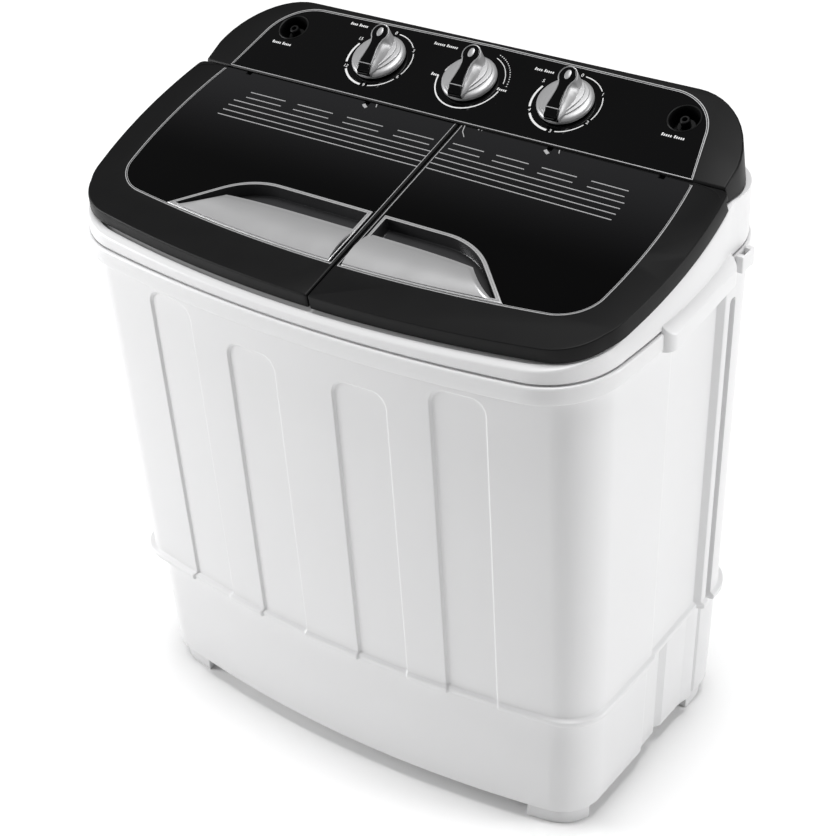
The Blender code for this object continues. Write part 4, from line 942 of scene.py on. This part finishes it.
def caption(x, v, words, low):
    """A row of small plain blocks that stands for a caption."""
    pitch, gap = 0.0021, 0.0016
    left = x - (pitch * sum(words) + gap * (len(words) - 1)) / 2
    made = []
    for word in words:
        for letter in range(word):
            tall = 0.0032 if letter == 0 else 0.0022
            made.append(
                box(
                    "block",
                    (left, v - 0.0012, low),
                    (left + pitch * 0.62, v - 0.0012 + tall, low + PRINT_HEIGHT),
                    PANEL,
                ),
            )
            left += pitch
        left += gap
    return made


# ---- Knobs ----
GRIP_TOP_Z, GRIP_RISE = 0.0178, 0.22  # the grip's top slopes up from the foot to the head


def grip_height(y, above=0.0):
    return GRIP_TOP_Z + above + GRIP_RISE * y


def on_grip(outline, *heights):
    """Rings of one outline, each at a height over the grip's sloping top."""
    return [(outline, lambda y, above=above: grip_height(y, above)) for above in heights]


def from_right(right):
    return right + [(-x, y) for x, y in reversed(right) if x > 1e-6]


def teardrop(grow=0.0):
    """The pointer from above: a square foot, a waist and a round head."""
    right = [
        (0.0064 + grow, -0.0187 - grow), (0.0060 + grow, -0.0150), (0.0050 + grow, -0.0085),
        (0.0043 + grow, -0.0020),
    ]
    right += [(0.0045 + grow, 0.0035)] + arc((0, 0.0135), 0.0082 + grow, -42, 90, 14)
    return from_right(right)


def flank(grow=0.0):
    """The grip lower down, with as many points as the pointer: its sides swell towards the middle."""
    right = [
        (0.0076 + grow, -0.0256), (0.0100 + grow, -0.0190), (0.0124 + grow, -0.0100),
        (0.0132 + grow, -0.0020),
    ]
    right += [(0.0122 + grow, 0.0050)] + arc((0, 0.0135), 0.0106 + grow, -18, 90, 14)
    return from_right(right)


def mixed(first, second, share):
    return [(a + (c - a) * share, b + (d - b) * share) for (a, b), (c, d) in zip(first, second)]


def swept(width, skew, count=20):
    """A lens round the grip whose edges lean one way, like an S from the foot to the head."""
    right, left = [], []
    for i in range(count + 1):
        t = -1 + 2 * i / count
        reach = width * max(0.0, 1 - t * t) ** 0.55
        right.append((reach + skew * math.sin(t * math.pi * 0.8), 0.0236 * t))
        left.append((-reach + skew * math.sin(t * math.pi * 0.8), 0.0236 * t))
    return right + left[::-1][1:-1]


def build_knob(node, body, x):
    """A flat dial with swept steps, a tall sloping grip, the black pointer on it and its silver mark."""
    place = PANEL @ Matrix.Translation((x, KNOB_V, 0))
    r = KNOB_RADIUS
    dish = turned(
        "dish",
        [
            (0, 0.0072), (0.020, 0.0070), (0.0245, 0.0064), (r - 0.0012, 0.0057), (r - 0.0003, 0.0050),
            (r, 0.0041), (r, 0.0020), (r - 0.0006, 0.0015), (0.0055, 0.0015), (0.0055, -0.0100),
            (0, -0.0100),
        ],
        matrix=place,
        steps=96,
    )
    steps = [eased_edges(prism("step", swept(width, skew), 0.004, top, place), 0.0006, 3)
             for width, skew, top in ((0.0205, 0.0022, 0.0083), (0.0160, 0.0018, 0.0098))]
    top, low = teardrop(0.0011), flank()
    rings = [(low, 0.004), (low, 0.0088)]
    for share, lift in ((0.30, 0.24), (0.55, 0.48), (0.78, 0.74), (0.93, 0.93)):
        rings.append((mixed(low, top, share), lambda y, k=lift: 0.0088 + (grip_height(y) - 0.0088) * k))
    rings += on_grip(top, -0.0004) + on_grip(teardrop(0.0006), 0.0001)
    grip = loft("grip", rings, cap=True, lid=True, matrix=place)
    dial = merged(f"{node}_grip", dish, *steps, grip)
    piece(dial, body, "silver_plastic", DIAL, f"{node}_dial", smooth=40)
    rings = on_grip(teardrop(), -0.0002, 0.0011)
    rings += on_grip(teardrop(-0.0003), 0.0016) + on_grip(teardrop(-0.0010), 0.0018)
    cap = loft("cap", rings, cap=True, lid=True, matrix=place)
    heel = heel_plate(place)
    piece(merged(f"{node}_cap", cap, heel), body, "black_plastic", GLOSS, f"{node}_pointer", smooth=40)
    rings = on_grip(teardrop(0.0011), 0.0, 0.0013) + on_grip(teardrop(0.0006), 0.0016)
    rim = loft("rim", rings + on_grip(teardrop(0.0002), 0.0013, 0.0), matrix=place)
    middle = 0.0140
    oval = [
        (0.0030 * math.cos(a), middle + 0.0046 * math.sin(a))
        for a in (math.tau * i / 28 for i in range(28))
    ]
    small = [(px * 0.82, middle + (py - middle) * 0.82) for px, py in oval]
    rings = on_grip(oval, 0.0010, 0.0020) + on_grip(small, 0.0023)
    mark = loft("mark", rings, cap=True, lid=True, matrix=place)
    edge = box("edge", (-0.0062, -0.0200, 0.0146), (0.0062, -0.0193, 0.0156), place)
    piece(merged(f"{node}_mark", rim, mark, edge), body, "silver_plastic", DIAL)


HEEL_ROWS = (
    (-0.0200, 0.0150, 0.0061), (-0.0236, 0.0128, 0.0066), (-0.0258, 0.0104, 0.0071),
    (-0.0263, 0.0050, 0.0074),
)


def heel_plate(place):
    """The black face that runs from the pointer's foot down to the rim, as rows of (y, z, half width)."""
    bm = bmesh.new()
    rows = [[bm.verts.new((half * i / 4, y, z)) for i in range(-4, 5)] for y, z, half in HEEL_ROWS]
    for (y, z, half), drop in ((HEEL_ROWS[-1], 0.001), (HEEL_ROWS[0], 0.003)):
        rows.append([bm.verts.new((half * i / 4, y + 0.0040, z - drop)) for i in range(-4, 5)])
    for a, b in zip(rows, rows[1:] + rows[:1]):
        for i in range(8):
            bm.faces.new((a[i], a[i + 1], b[i + 1], b[i]))
    for end in (0, 8):
        bm.faces.new([row[end] for row in rows])
    bmesh.ops.recalc_face_normals(bm, faces=bm.faces)
    return eased_edges(new_object("heel", bm, place), 0.0003, 2)


# ---- Lids ----
LID_HALF, LID_FRONT_S, LID_REAR_S = 0.2868, -0.2463, -0.0012
WINDOW_HALF, WINDOW_FRONT_S, WINDOW_REAR_S, WINDOW_BULGE = 0.2540, -0.2045, -0.0024, 0.0205
HANDLE_HALF, HANDLE_BACK_S, HANDLE_EDGE_S, HANDLE_CORNER = 0.1800, -0.1335, -0.1600, 0.075
LID_SIDE = [(-0.151 + 0.0075 * i, 0.0) for i in range(19)]


def lid_outline(inset=0.0, swell=0.0100):
    outline = plan(LID_HALF, LID_FRONT_S, LID_REAR_S, 0.056, 0.006, bulge=0.029, side=LID_SIDE, inset=inset)
    return bowed(outline, swell, -0.092, 0.100)


def window_outline(inset=0.0):
    outline = plan(
        WINDOW_HALF, WINDOW_FRONT_S, WINDOW_REAR_S, 0.036, 0.003, bulge=WINDOW_BULGE, side=LID_SIDE[1:],
        inset=inset,
    )
    return bowed(outline, 0.0095, -0.100, 0.100)


def handle_outline(inset=0.0):
    """The D-shaped trim: a bowed front edge, slanted ends and a straight back."""
    half = HANDLE_HALF - 2.14 * inset
    right = []
    for i in range(25):
        x = half * i / 24
        right.append((x, front_edge(x) + inset))
    right += arc((0.0905, HANDLE_BACK_S - HANDLE_CORNER), HANDLE_CORNER - inset, 45, 90, 18)
    return right + [(-x, s) for x, s in reversed(right[1:])]


def front_edge(x):
    return WINDOW_FRONT_S + 0.0012 + 0.35 * x**2


def half_prism(name, outline, sign, margin, low, high):
    return prism(name, clipped(outline, SEAM_X + sign * margin, sign), low, high, LID)


def build_lid(name, sign, lug_positions):
    """One lid: the satin frame, the gloss window with its light lines, which are painted highlights, and the
    silver handle.
    """
    seam = SEAM_GAP / 2
    shell = prism(f"{name}_shell", clipped(lid_outline(), SEAM_X + sign * seam, sign), -LID_DEPTH, 0)
    for vertex in shell.data.vertices:
        share = (vertex.co.z + LID_DEPTH) / LID_DEPTH  # the wall leans in towards the top
        outward = min(1.0, max(0.0, abs(vertex.co.x) - 0.03) / 0.20)
        vertex.co.x -= math.copysign(0.0022 * share * outward, vertex.co.x)
        vertex.co.y += 0.0012 * share if vertex.co.y < -0.10 else 0.0
    eased_edges(shell, 0.0020, 4, 40)
    shell.data.transform(LID)
    pocket = half_prism("pocket", lid_outline(0.0075), sign, seam + 0.003, -0.03, -0.005)
    seat = half_prism("seat", window_outline(), sign, seam + 0.0025, -0.0030, 0.01)
    hole = half_prism("hole", window_outline(0.004), sign, seam + 0.0065, -0.02, 0.01)
    trim = half_prism("trim", handle_outline(), sign, seam + 0.0055, -0.02, 0.01)
    relief = box("relief", (-0.30, -0.0100, -0.03), (0.30, 0.01, -0.0050), LID)
    cut(shell, pocket, seat, hole, trim, relief, *notches(lug_positions))
    knuckles = [part for x in lug_positions for part in knuckle(x)]
    ridge = stroke("ridge", corner_line(sign), 0.0007, -0.0004, 0.0003, LID)
    piece(
        merged(f"{name}_frame_shell", shell, *knuckles, ridge),
        name,
        "black_plastic",
        BLACK,
        f"{name}_frame",
        smooth=40,
    )
    window = half_prism("pane", window_outline(0.0003), sign, seam + 0.0028, -0.0027, -0.0002)
    trim = half_prism("trim", handle_outline(), sign, seam + 0.0055, -0.02, 0.01)
    cut(window, trim, *notches(lug_positions))
    window.name = f"{name}_pane"
    piece(window, name, "gloss_black", PANE, f"{name}_window")
    # the pale lines round the window are painted highlights of its edge
    outer = clipped(window_outline(0.0001), SEAM_X + sign * (seam + 0.0026), sign)
    inner = clipped(window_outline(0.0009), SEAM_X + sign * (seam + 0.0032), sign)
    lines = [open_window_line("edge", outer, inner, -0.0004, SEAM)]
    outer = clipped(window_outline(0.0017), SEAM_X + sign * (seam + 0.0026), sign)
    inner = clipped(window_outline(0.0021), SEAM_X + sign * (seam + 0.0030), sign)
    lines.append(open_window_line("inner_edge", outer, inner, -0.0004, SEAM * 0.4))
    piece(
        merged(f"{name}_painted_highlights", *lines, *vent_lines(sign), *hinge_glints(sign)),
        name,
        "silver_plastic",
        PAINTED_HIGHLIGHT_LINE,
    )
    build_handle(name, sign, seam + 0.0055)


def notches(lug_positions):
    """Clearance for the lugs: under a skin in front of the hinge's axis, and right through behind it."""
    made = []
    for x in lug_positions:
        made.append(box("notch", (x - 0.0031, HINGE_S - 0.0042, -0.03), (x + 0.0031, 0.02, -0.0009), LID))
        made.append(box("notch", (x - 0.0031, HINGE_S + 0.0003, -0.02), (x + 0.0031, 0.02, 0.02), LID))
    return made


def corner_line(sign):
    """The fine line that runs out from the window's rear corner to the lid's side."""
    return [(sign * (0.2535 + 0.0300 * math.sin(a)), -0.0020 - 0.0105 * (1 - math.cos(a)))
            for a in (math.radians(4.5 * i) for i in range(20))]


def open_window_line(name, outer, inner, low, high):
    """A light line round a window's front and side, a painted highlight of its edge; none runs along the rear."""
    line = inlay(name, outer, inner, low, high, LEVEL)
    bm = bmesh.new()
    bm.from_mesh(line.data)
    rear = [
        face for face in bm.faces
        if face.calc_center_median().y > WINDOW_REAR_S - 0.0026
        and len({round(v.co.y, 3) for v in face.verts}) <= 2
        and max(v.co.y for v in face.verts) - min(v.co.y for v in face.verts) < 0.003
    ]
    bmesh.ops.delete(bm, geom=rear, context="FACES")
    bm.to_mesh(line.data)
    bm.free()
    line.data.transform(LID)
    return line


def hinge_glints(sign):
    """The bright tick and the fine line over each lid's inner hinge, and the ticks beside the seam: painted
    glints.
    """
    x = -0.0842 if sign < 0 else 0.1128
    glints = [
        stroke(
            "mark",
            [(x - 0.0016, -0.0070), (x + 0.0004, -0.0088), (x + 0.0036, -0.0108)],
            0.0030,
            -0.0003,
            SEAM,
            LID,
        ),
        stroke("mark", [(x + 0.0108, -0.0030), (x + 0.0126, -0.0072)], 0.0009, -0.0003, SEAM, LID),
    ]
    if sign > 0:
        glints.append(
            stroke(
                "mark",
                [(0.0238, -0.0022), (0.0262, -0.0100), (0.0318, -0.0165)],
                0.0008,
                -0.0003,
                SEAM,
                LID,
            ),
        )
        glints.append(box("mark", (0.0385, -0.0032, -0.0003), (0.0395, -0.0022, SEAM), LID))
        glints.append(box("mark", (0.0420, -0.0032, -0.0003), (0.0426, -0.0024, SEAM), LID))
    return glints


def knuckle(x):
    """The two ears beside a lug and the pin between them."""
    low, high, reach = HINGE_S - 0.0030, HINGE_S + 0.0030, 0.0031
    made = [
        box("ear", (x + end * reach - (0.004 if end < 0 else 0), low, HINGE_Z - 0.003),
            (x + end * reach + (0.004 if end > 0 else 0), high, -0.0030), LID)
        for end in (-1, 1)
    ]
    pin = rod("pin", 0.0014, 0.0048, -0.0048, matrix=hinge_axis(x), steps=20)
    return [*made, pin]


LINE_WIDTH = 0.0009
DASH_ROWS = (-0.0290, -0.0368)  # how far in front of the lids' rear edge each row of lines lies
LINE_ROWS = (-0.0443, -0.0518, -0.0594, -0.0668)
WASH_DASHES = ((-0.2040, -0.1621), (-0.1475, -0.1063), (-0.0898, -0.0492), (-0.0326, 0.0070))
SPIN_DASHES = ((0.0270, 0.0602), (0.0735, 0.1072), (0.1208, 0.1563), (0.1709, 0.2076))


def vent_lines(sign):
    """The rows of light lines, painted highlights standing for the lid's ribs: two of dashes and four full lines,
    whose outer ends stagger.
    """
    made = []

    def row_line(low, high, s):
        ends = [(x, s - (0.0160 * (x - 0.14) + 0.0004 if sign > 0 else 0)) for x in (low, high)]
        made.append(stroke("line", ends, LINE_WIDTH, -0.0003, SEAM * 0.6, LID))

    for s in DASH_ROWS:
        for low, high in WASH_DASHES if sign < 0 else SPIN_DASHES:
            row_line(low, high, s)
    for row, s in enumerate(LINE_ROWS):
        low, high = (-0.2134 - 0.0009 * row, 0.0135) if sign < 0 else (0.0222, 0.2117)
        row_line(low, high, s)
    return made


def build_handle(name, sign, margin):
    """Half of the D-shaped silver well: fingers go in behind its crowned front plate and pull up."""
    floor_z = -0.0138
    trim = half_prism(f"{name}_grip_well", handle_outline(0.0003), sign, margin + 0.0003, floor_z, 0.0012)
    eased_edges(trim, 0.0007, 3, 40)
    well = half_prism("well", handle_outline(0.0040), sign, margin + 0.0036, floor_z + 0.0014, 0.02)
    eased_edges(well, 0.0030, 5, 60)
    cut(trim, well)
    groove_outer = clipped(handle_outline(0.0021), SEAM_X + sign * (margin + 0.0018), sign)
    groove_inner = clipped(handle_outline(0.0028), SEAM_X + sign * (margin + 0.0024), sign)
    cut(trim, inlay("groove", groove_outer, groove_inner, 0.0006, 0.0020, LID))
    plate = front_plate(f"{name}_plate", sign, margin + 0.0010)
    grip = piece(
        merged(f"{name}_grip", trim, plate), name, "silver_plastic", SILVER, f"{name}_handle", smooth=50
    )
    # the well's deep faces take the darker silver: painted shade in the recess
    grip.data.materials.append(WELL_PAINTED_SHADE)
    to_lid = LID.inverted()
    for face in grip.data.polygons:
        where = to_lid @ face.center
        face.material_index = int(where.z < -0.0016 and where.y > HANDLE_EDGE_S - 0.03)


def front_plate(name, sign, margin):
    """The plate over the front of the well: a crowned sheet with slanted ends and a rolled rear edge."""
    bm = bmesh.new()
    x_seam = SEAM_X + sign * margin
    rows, columns, thick = 18, 60, 0.0016
    grid = []
    for j in range(rows + 1):
        t = j / rows
        loop = []
        x_end = 0.1700 - 0.0375 * t - 0.0012 * math.sin(math.pi * t)
        for i in range(columns + 1):
            x = x_seam + (sign * x_end - x_seam) * i / columns
            front = front_edge(x) + 0.0018
            rear = HANDLE_EDGE_S + 0.0008 - 0.0035 * (x / 0.135) ** 4
            s = front + (max(rear, front + 0.001) - front) * t
            edge = min(1.0, (columns - i) / 3)
            crown = 0.0012 + 0.0044 * math.sin(math.pi * min(1.0, 0.06 + t * 0.98)) ** 0.8 - 0.0010 * t**3
            loop.append(bm.verts.new((x, s, crown * (0.35 + 0.65 * edge))))
        grid.append(loop)
    for a, b in zip(grid, grid[1:]):
        for i in range(columns):
            bm.faces.new((a[i], a[i + 1], b[i + 1], b[i]))
    bmesh.ops.recalc_face_normals(bm, faces=bm.faces)
    if sum(face.normal.z for face in bm.faces) < 0:
        bmesh.ops.reverse_faces(bm, faces=bm.faces)
    return walled(new_object(name, bm, LID), thick)


# ---- Inside, behind the lids ----
def build_wash_side():
    low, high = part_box("wash_tub")
    x, y = (low.x + high.x) / 2, (low.y + high.y) / 2
    half_x, half_y = (high.x - low.x) / 2 - 0.003, (high.y - low.y) / 2 - 0.003
    rings = []
    floor_round = 0.016
    for i in range(7):
        a = math.radians(90 * i / 6)
        inset = floor_round * (1 - math.sin(a)) + 0.006
        rings.append((tub_ring(x, y, half_x, half_y, inset), low.z + floor_round * (1 - math.cos(a))))
    for z, inset in (
        (0.34, 0.0038), (0.42, 0.0022), (high.z - 0.006, 0.0), (high.z - 0.0012, 0.0),
        (high.z - 0.0004, -0.0010),
    ):
        rings.append((tub_ring(x, y, half_x, half_y, inset), z))
    rings.append((tub_ring(x, y, half_x, half_y, -0.0030), high.z - 0.0002))
    tub = walled(loft("wash_bowl", rings, cap=True), 0.0024)
    bore = rod("bore", 0.0185, 0.05, -0.05, at=(x, y, low.z))
    cut(tub, bore)
    piece(tub, "machine", "tub_plastic", TUB, "wash_tub", smooth=45)
    build_pulsator(x, y)


def tub_ring(x, y, half_x, half_y, inset):
    radius = max(0.046 - inset, 0.012)
    return rounded(x - half_x + inset, y - half_y + inset, x + half_x - inset, y + half_y - inset, radius, 10)


FIN_CENTRE = (0.052, -0.060)  # what the first fin's two arcs turn about, from the pulsator's axis


def build_pulsator(x, y):
    """The dished disc with its four swept fins and a raised hub."""
    low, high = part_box("pulsator")
    radius, foot = (high.x - low.x) / 2, low.z
    disc = turned(
        "disc",
        [
            (0, high.z), (0.006, high.z - 0.0004), (0.012, high.z - 0.003), (0.017, high.z - 0.008),
            (0.022, foot + 0.012), (0.034, foot + 0.0080), (0.060, foot + 0.0050),
            (radius - 0.003, foot + 0.0040), (radius - 0.0008, foot + 0.0034), (radius, foot + 0.0020),
            (radius, foot), (0.0080, foot), (0.0080, foot + 0.016), (0, foot + 0.016),
        ],
        at=(x, y, 0),
        steps=96,
    )
    fins = []
    for i in range(4):
        outline = arc(FIN_CENTRE, 0.064, 128, 72, 16)[::-1] + arc(FIN_CENTRE, 0.057, 72, 128, 16)[::-1]
        spin = Matrix.Translation((x, y, 0)) @ Matrix.Rotation(i * math.pi / 2, 4, "Z")
        fins.append(eased_edges(prism("fin", outline, foot + 0.002, foot + 0.017, spin), 0.0022, 4))
    piece(merged("pulsator_disc", disc, *fins), "pulsator", "tub_plastic", TUB, "pulsator")


def build_spin_side():
    low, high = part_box("spin_basket")
    centre = centre_of("spin_basket")
    at = (centre.x, centre.y, 0)
    r, foot, rim = (high.x - low.x) / 2 - 0.003, low.z, high.z
    basket = turned(
        "basket",
        [
            (r - 0.0062, rim), (r + 0.0010, rim), (r + 0.0026, rim - 0.0014), (r + 0.003, rim - 0.004),
            (r + 0.0026, rim - 0.0105), (r + 0.0012, rim - 0.012), (r, rim - 0.0125),
            (r - 0.003, foot + 0.012), (r - 0.005, foot + 0.004), (r - 0.012, foot), (0.0073, foot),
            (0.0073, foot + 0.020), (0, foot + 0.020), (0, foot + 0.030), (0.012, foot + 0.0285),
            (0.018, foot + 0.024), (0.026, foot + 0.006), (0.034, foot + 0.002), (r - 0.014, foot + 0.002),
            (r - 0.007, foot + 0.006), (r - 0.005, foot + 0.012), (r - 0.002, rim - 0.013),
            (r - 0.0035, rim - 0.009), (r - 0.0065, rim - 0.006), (r - 0.0068, rim - 0.001),
        ],
        at=at,
        steps=96,
    )
    slots = []
    slot_outline = rounded(-0.0016, -0.0075, 0.0016, 0.0075, 0.0016, 3)
    for row in range(8):
        for i in range(18):
            turn = Matrix.Rotation((i + 0.5 * (row % 2)) * math.tau / 18, 4, "Z")
            matrix = Matrix.Translation((centre.x, centre.y, foot + 0.032 + row * 0.026)) @ turn @ UPRIGHT
            slots.append(prism("slot", slot_outline, r - 0.012, r + 0.006, matrix))
    cut(basket, merged("slots", *slots))
    basket.name = "spin_drum"
    piece(basket, "spin_basket", "tub_plastic", TUB, "spin_basket", smooth=40)
    low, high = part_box("spin_cover")
    r, top = (high.x - low.x) / 2, high.z
    cover = turned(
        "cover",
        [
            (0, top), (0.008, top - 0.0006), (0.011, top - 0.003), (0.012, top - 0.0125),
            (0.015, top - 0.0142), (0.068, top - 0.0180), (0.071, top - 0.0165), (0.0775, top - 0.0065),
            (r - 0.001, top - 0.0058), (r, top - 0.0066), (r, top - 0.0086), (r - 0.0018, top - 0.0090),
            (r - 0.010, top - 0.0210), (0, top - 0.0170),
        ],
        at=at,
        steps=96,
    )
    ribs = []
    rib_outline = rounded(0.014, -0.0012, 0.066, 0.0012, 0.0011, 3)
    for i in range(12):
        spin = Matrix.Translation((centre.x, centre.y, 0)) @ Matrix.Rotation(i * math.tau / 12, 4, "Z")
        ribs.append(eased_edges(prism("rib", rib_outline, top - 0.0185, top - 0.0132, spin), 0.0005, 2))
    piece(merged("spin_press_cover", cover, *ribs), "spin_cover", "tub_plastic", TUB, "spin_cover")
    centre = centre_of("spin_outer_tub")
    low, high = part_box("spin_outer_tub")
    r, foot, rim = (high.x - low.x) / 2 - 0.003, low.z, high.z
    well = turned(
        "spin_well",
        [
            (r - 0.003, rim), (r + 0.0022, rim), (r + 0.003, rim - 0.0012), (r + 0.003, rim - 0.003),
            (r, rim - 0.0034), (r - 0.004, foot + 0.014), (r - 0.007, foot + 0.005), (r - 0.014, foot),
            (0.0300, foot), (0.0300, foot + 0.003), (r - 0.016, foot + 0.003), (r - 0.0095, foot + 0.007),
            (r - 0.007, foot + 0.014),
        ],
        at=(centre.x, centre.y, 0),
        steps=96,
    )
    piece(well, "machine", "tub_plastic", TUB, "spin_outer_tub")


# ---- Outlets at the back ----
def along_y(x, z):
    return Matrix.Translation((x, 0, z)) @ Matrix.Rotation(-math.pi / 2, 4, "X")


def build_outlets():
    low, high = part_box("drain_spout")
    centre, end = centre_of("drain_spout"), high.y
    spout = turned(
        "spout_barb",
        [
            (0.0095, end), (0.0116, end), (0.0132, end - 0.0052), (0.0131, end - 0.0062),
            (0.0120, end - 0.0070), (0.0120, end - 0.0120), (0.0126, end - 0.0150), (0.0120, end - 0.0160),
            (0.0120, low.y), (0.0095, low.y),
        ],
        matrix=along_y(centre.x, centre.z),
    )
    piece(spout, "machine", "black_plastic", BLACK, "drain_spout")
    low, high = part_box("cord_gland")
    centre, end = centre_of("cord_gland"), high.y
    gland = turned(
        "gland_collar",
        [
            (0.0042, end - 0.0006), (0.0050, end), (0.0100, end), (0.0112, end - 0.0010),
            (0.0115, end - 0.0035), (0.0080, end - 0.0035), (0.0080, low.y), (0.0042, low.y),
        ],
        matrix=along_y(centre.x, centre.z),
    )
    piece(gland, "machine", "rubber", RUBBER, "cord_gland")


# ---- Materials of the working parts that keep their CAD shape ----
FINISHES = {
    "steel": STEEL, "rubber": RUBBER, "motor_casting": MOTOR, "tub_plastic": TUB, "black_plastic": BLACK,
    "white_plastic": WHITE, "silver_plastic": SILVER, "gloss_black": GLOSS,
}


def dress_frame():
    """Gives each CAD node that is still shown the material of its slot in the record."""
    slots = {part["node"]: part.get("material_slot") for part in RECORD["subparts"] if "node" in part}
    for node, obj in frame["nodes"].items():
        if obj.hide_render:
            continue
        finish = FINISHES.get(slots.get(node), STEEL)
        for slot in obj.material_slots:
            slot.material = finish


# ---- Stage, light and camera ----
def stage():
    floor = prism("floor", rounded(-6, -6, 6, 6, 0.5), -0.02, 0.0)
    floor.data.materials.append(
        surface("studio_floor", (0.93, 0.93, 0.93), 0.8, grain=60, bump=0.0001, vary=0.005, specular=0.1)
    )
    world = bpy.data.worlds.new("studio")
    world.use_nodes = True
    world.node_tree.nodes["Background"].inputs["Color"].default_value = (1, 1, 1, 1)
    world.node_tree.nodes["Background"].inputs["Strength"].default_value = 0.15
    bpy.context.scene.world = world
    lamp("key_left", (-2.6, -1.3, 1.2), (-0.05, 0, 0.35), 1.2, 62)
    lamp("rim_right", (2.4, 0.9, 1.1), (0.1, 0, 0.35), 1.0, 32)
    sky = bpy.data.lights.new("overhead", "SUN")
    sky.energy = 2.6
    sky.angle = math.radians(26)
    overhead = bpy.data.objects.new("overhead", sky)
    overhead.rotation_euler = (math.radians(1), math.radians(1), 0)
    bpy.context.scene.collection.objects.link(overhead)


def lamp(name, place, aim, size, power):
    light = bpy.data.lights.new(name, "AREA")
    light.shape = "SQUARE"
    light.size = size
    light.energy = power
    obj = bpy.data.objects.new(name, light)
    obj.location = place
    obj.rotation_mode = "QUATERNION"
    obj.rotation_quaternion = (Vector(aim) - Vector(place)).to_track_quat("-Z", "Y")
    bpy.context.scene.collection.objects.link(obj)


def camera():
    """A long lens from the front right, a little rolled."""
    place, lens = Vector((0.8881, -1.2130, 1.3274)), 80.11
    azimuth, elevation, roll = math.radians(36.13), math.radians(33.72), math.radians(-2.84)
    level = math.cos(elevation)
    back = Vector((math.sin(azimuth) * level, -math.cos(azimuth) * level, math.sin(elevation)))
    right = (-back).cross(Vector((0, 0, 1))).normalized()
    up = right.cross(-back)
    across = math.cos(roll) * right + math.sin(roll) * up
    upward = -math.sin(roll) * right + math.cos(roll) * up
    data = bpy.data.cameras.new("camera")
    data.sensor_width = 36.0
    data.lens = lens
    obj = bpy.data.objects.new("camera", data)
    basis = Matrix((across, upward, back)).transposed().to_4x4()
    obj.matrix_world = Matrix.Translation(place) @ basis
    bpy.context.scene.collection.objects.link(obj)
    bpy.context.scene.camera = obj


def main():
    build_cabinet()
    build_base()
    build_rear_cover()
    build_collar()
    build_hose_hook()
    build_console()
    for node, x in (("wash_timer_knob", -KNOB_PITCH), ("selector_knob", 0), ("spin_timer_knob", KNOB_PITCH)):
        build_knob(node, node, x)
    build_lid("wash_lid", -1, WASH_LUGS)
    build_lid("spin_lid", 1, SPIN_LUGS)
    build_wash_side()
    build_spin_side()
    build_outlets()
    dress_frame()
    stage()
    camera()
    bpy.context.scene.view_settings.view_transform = "Standard"


main()
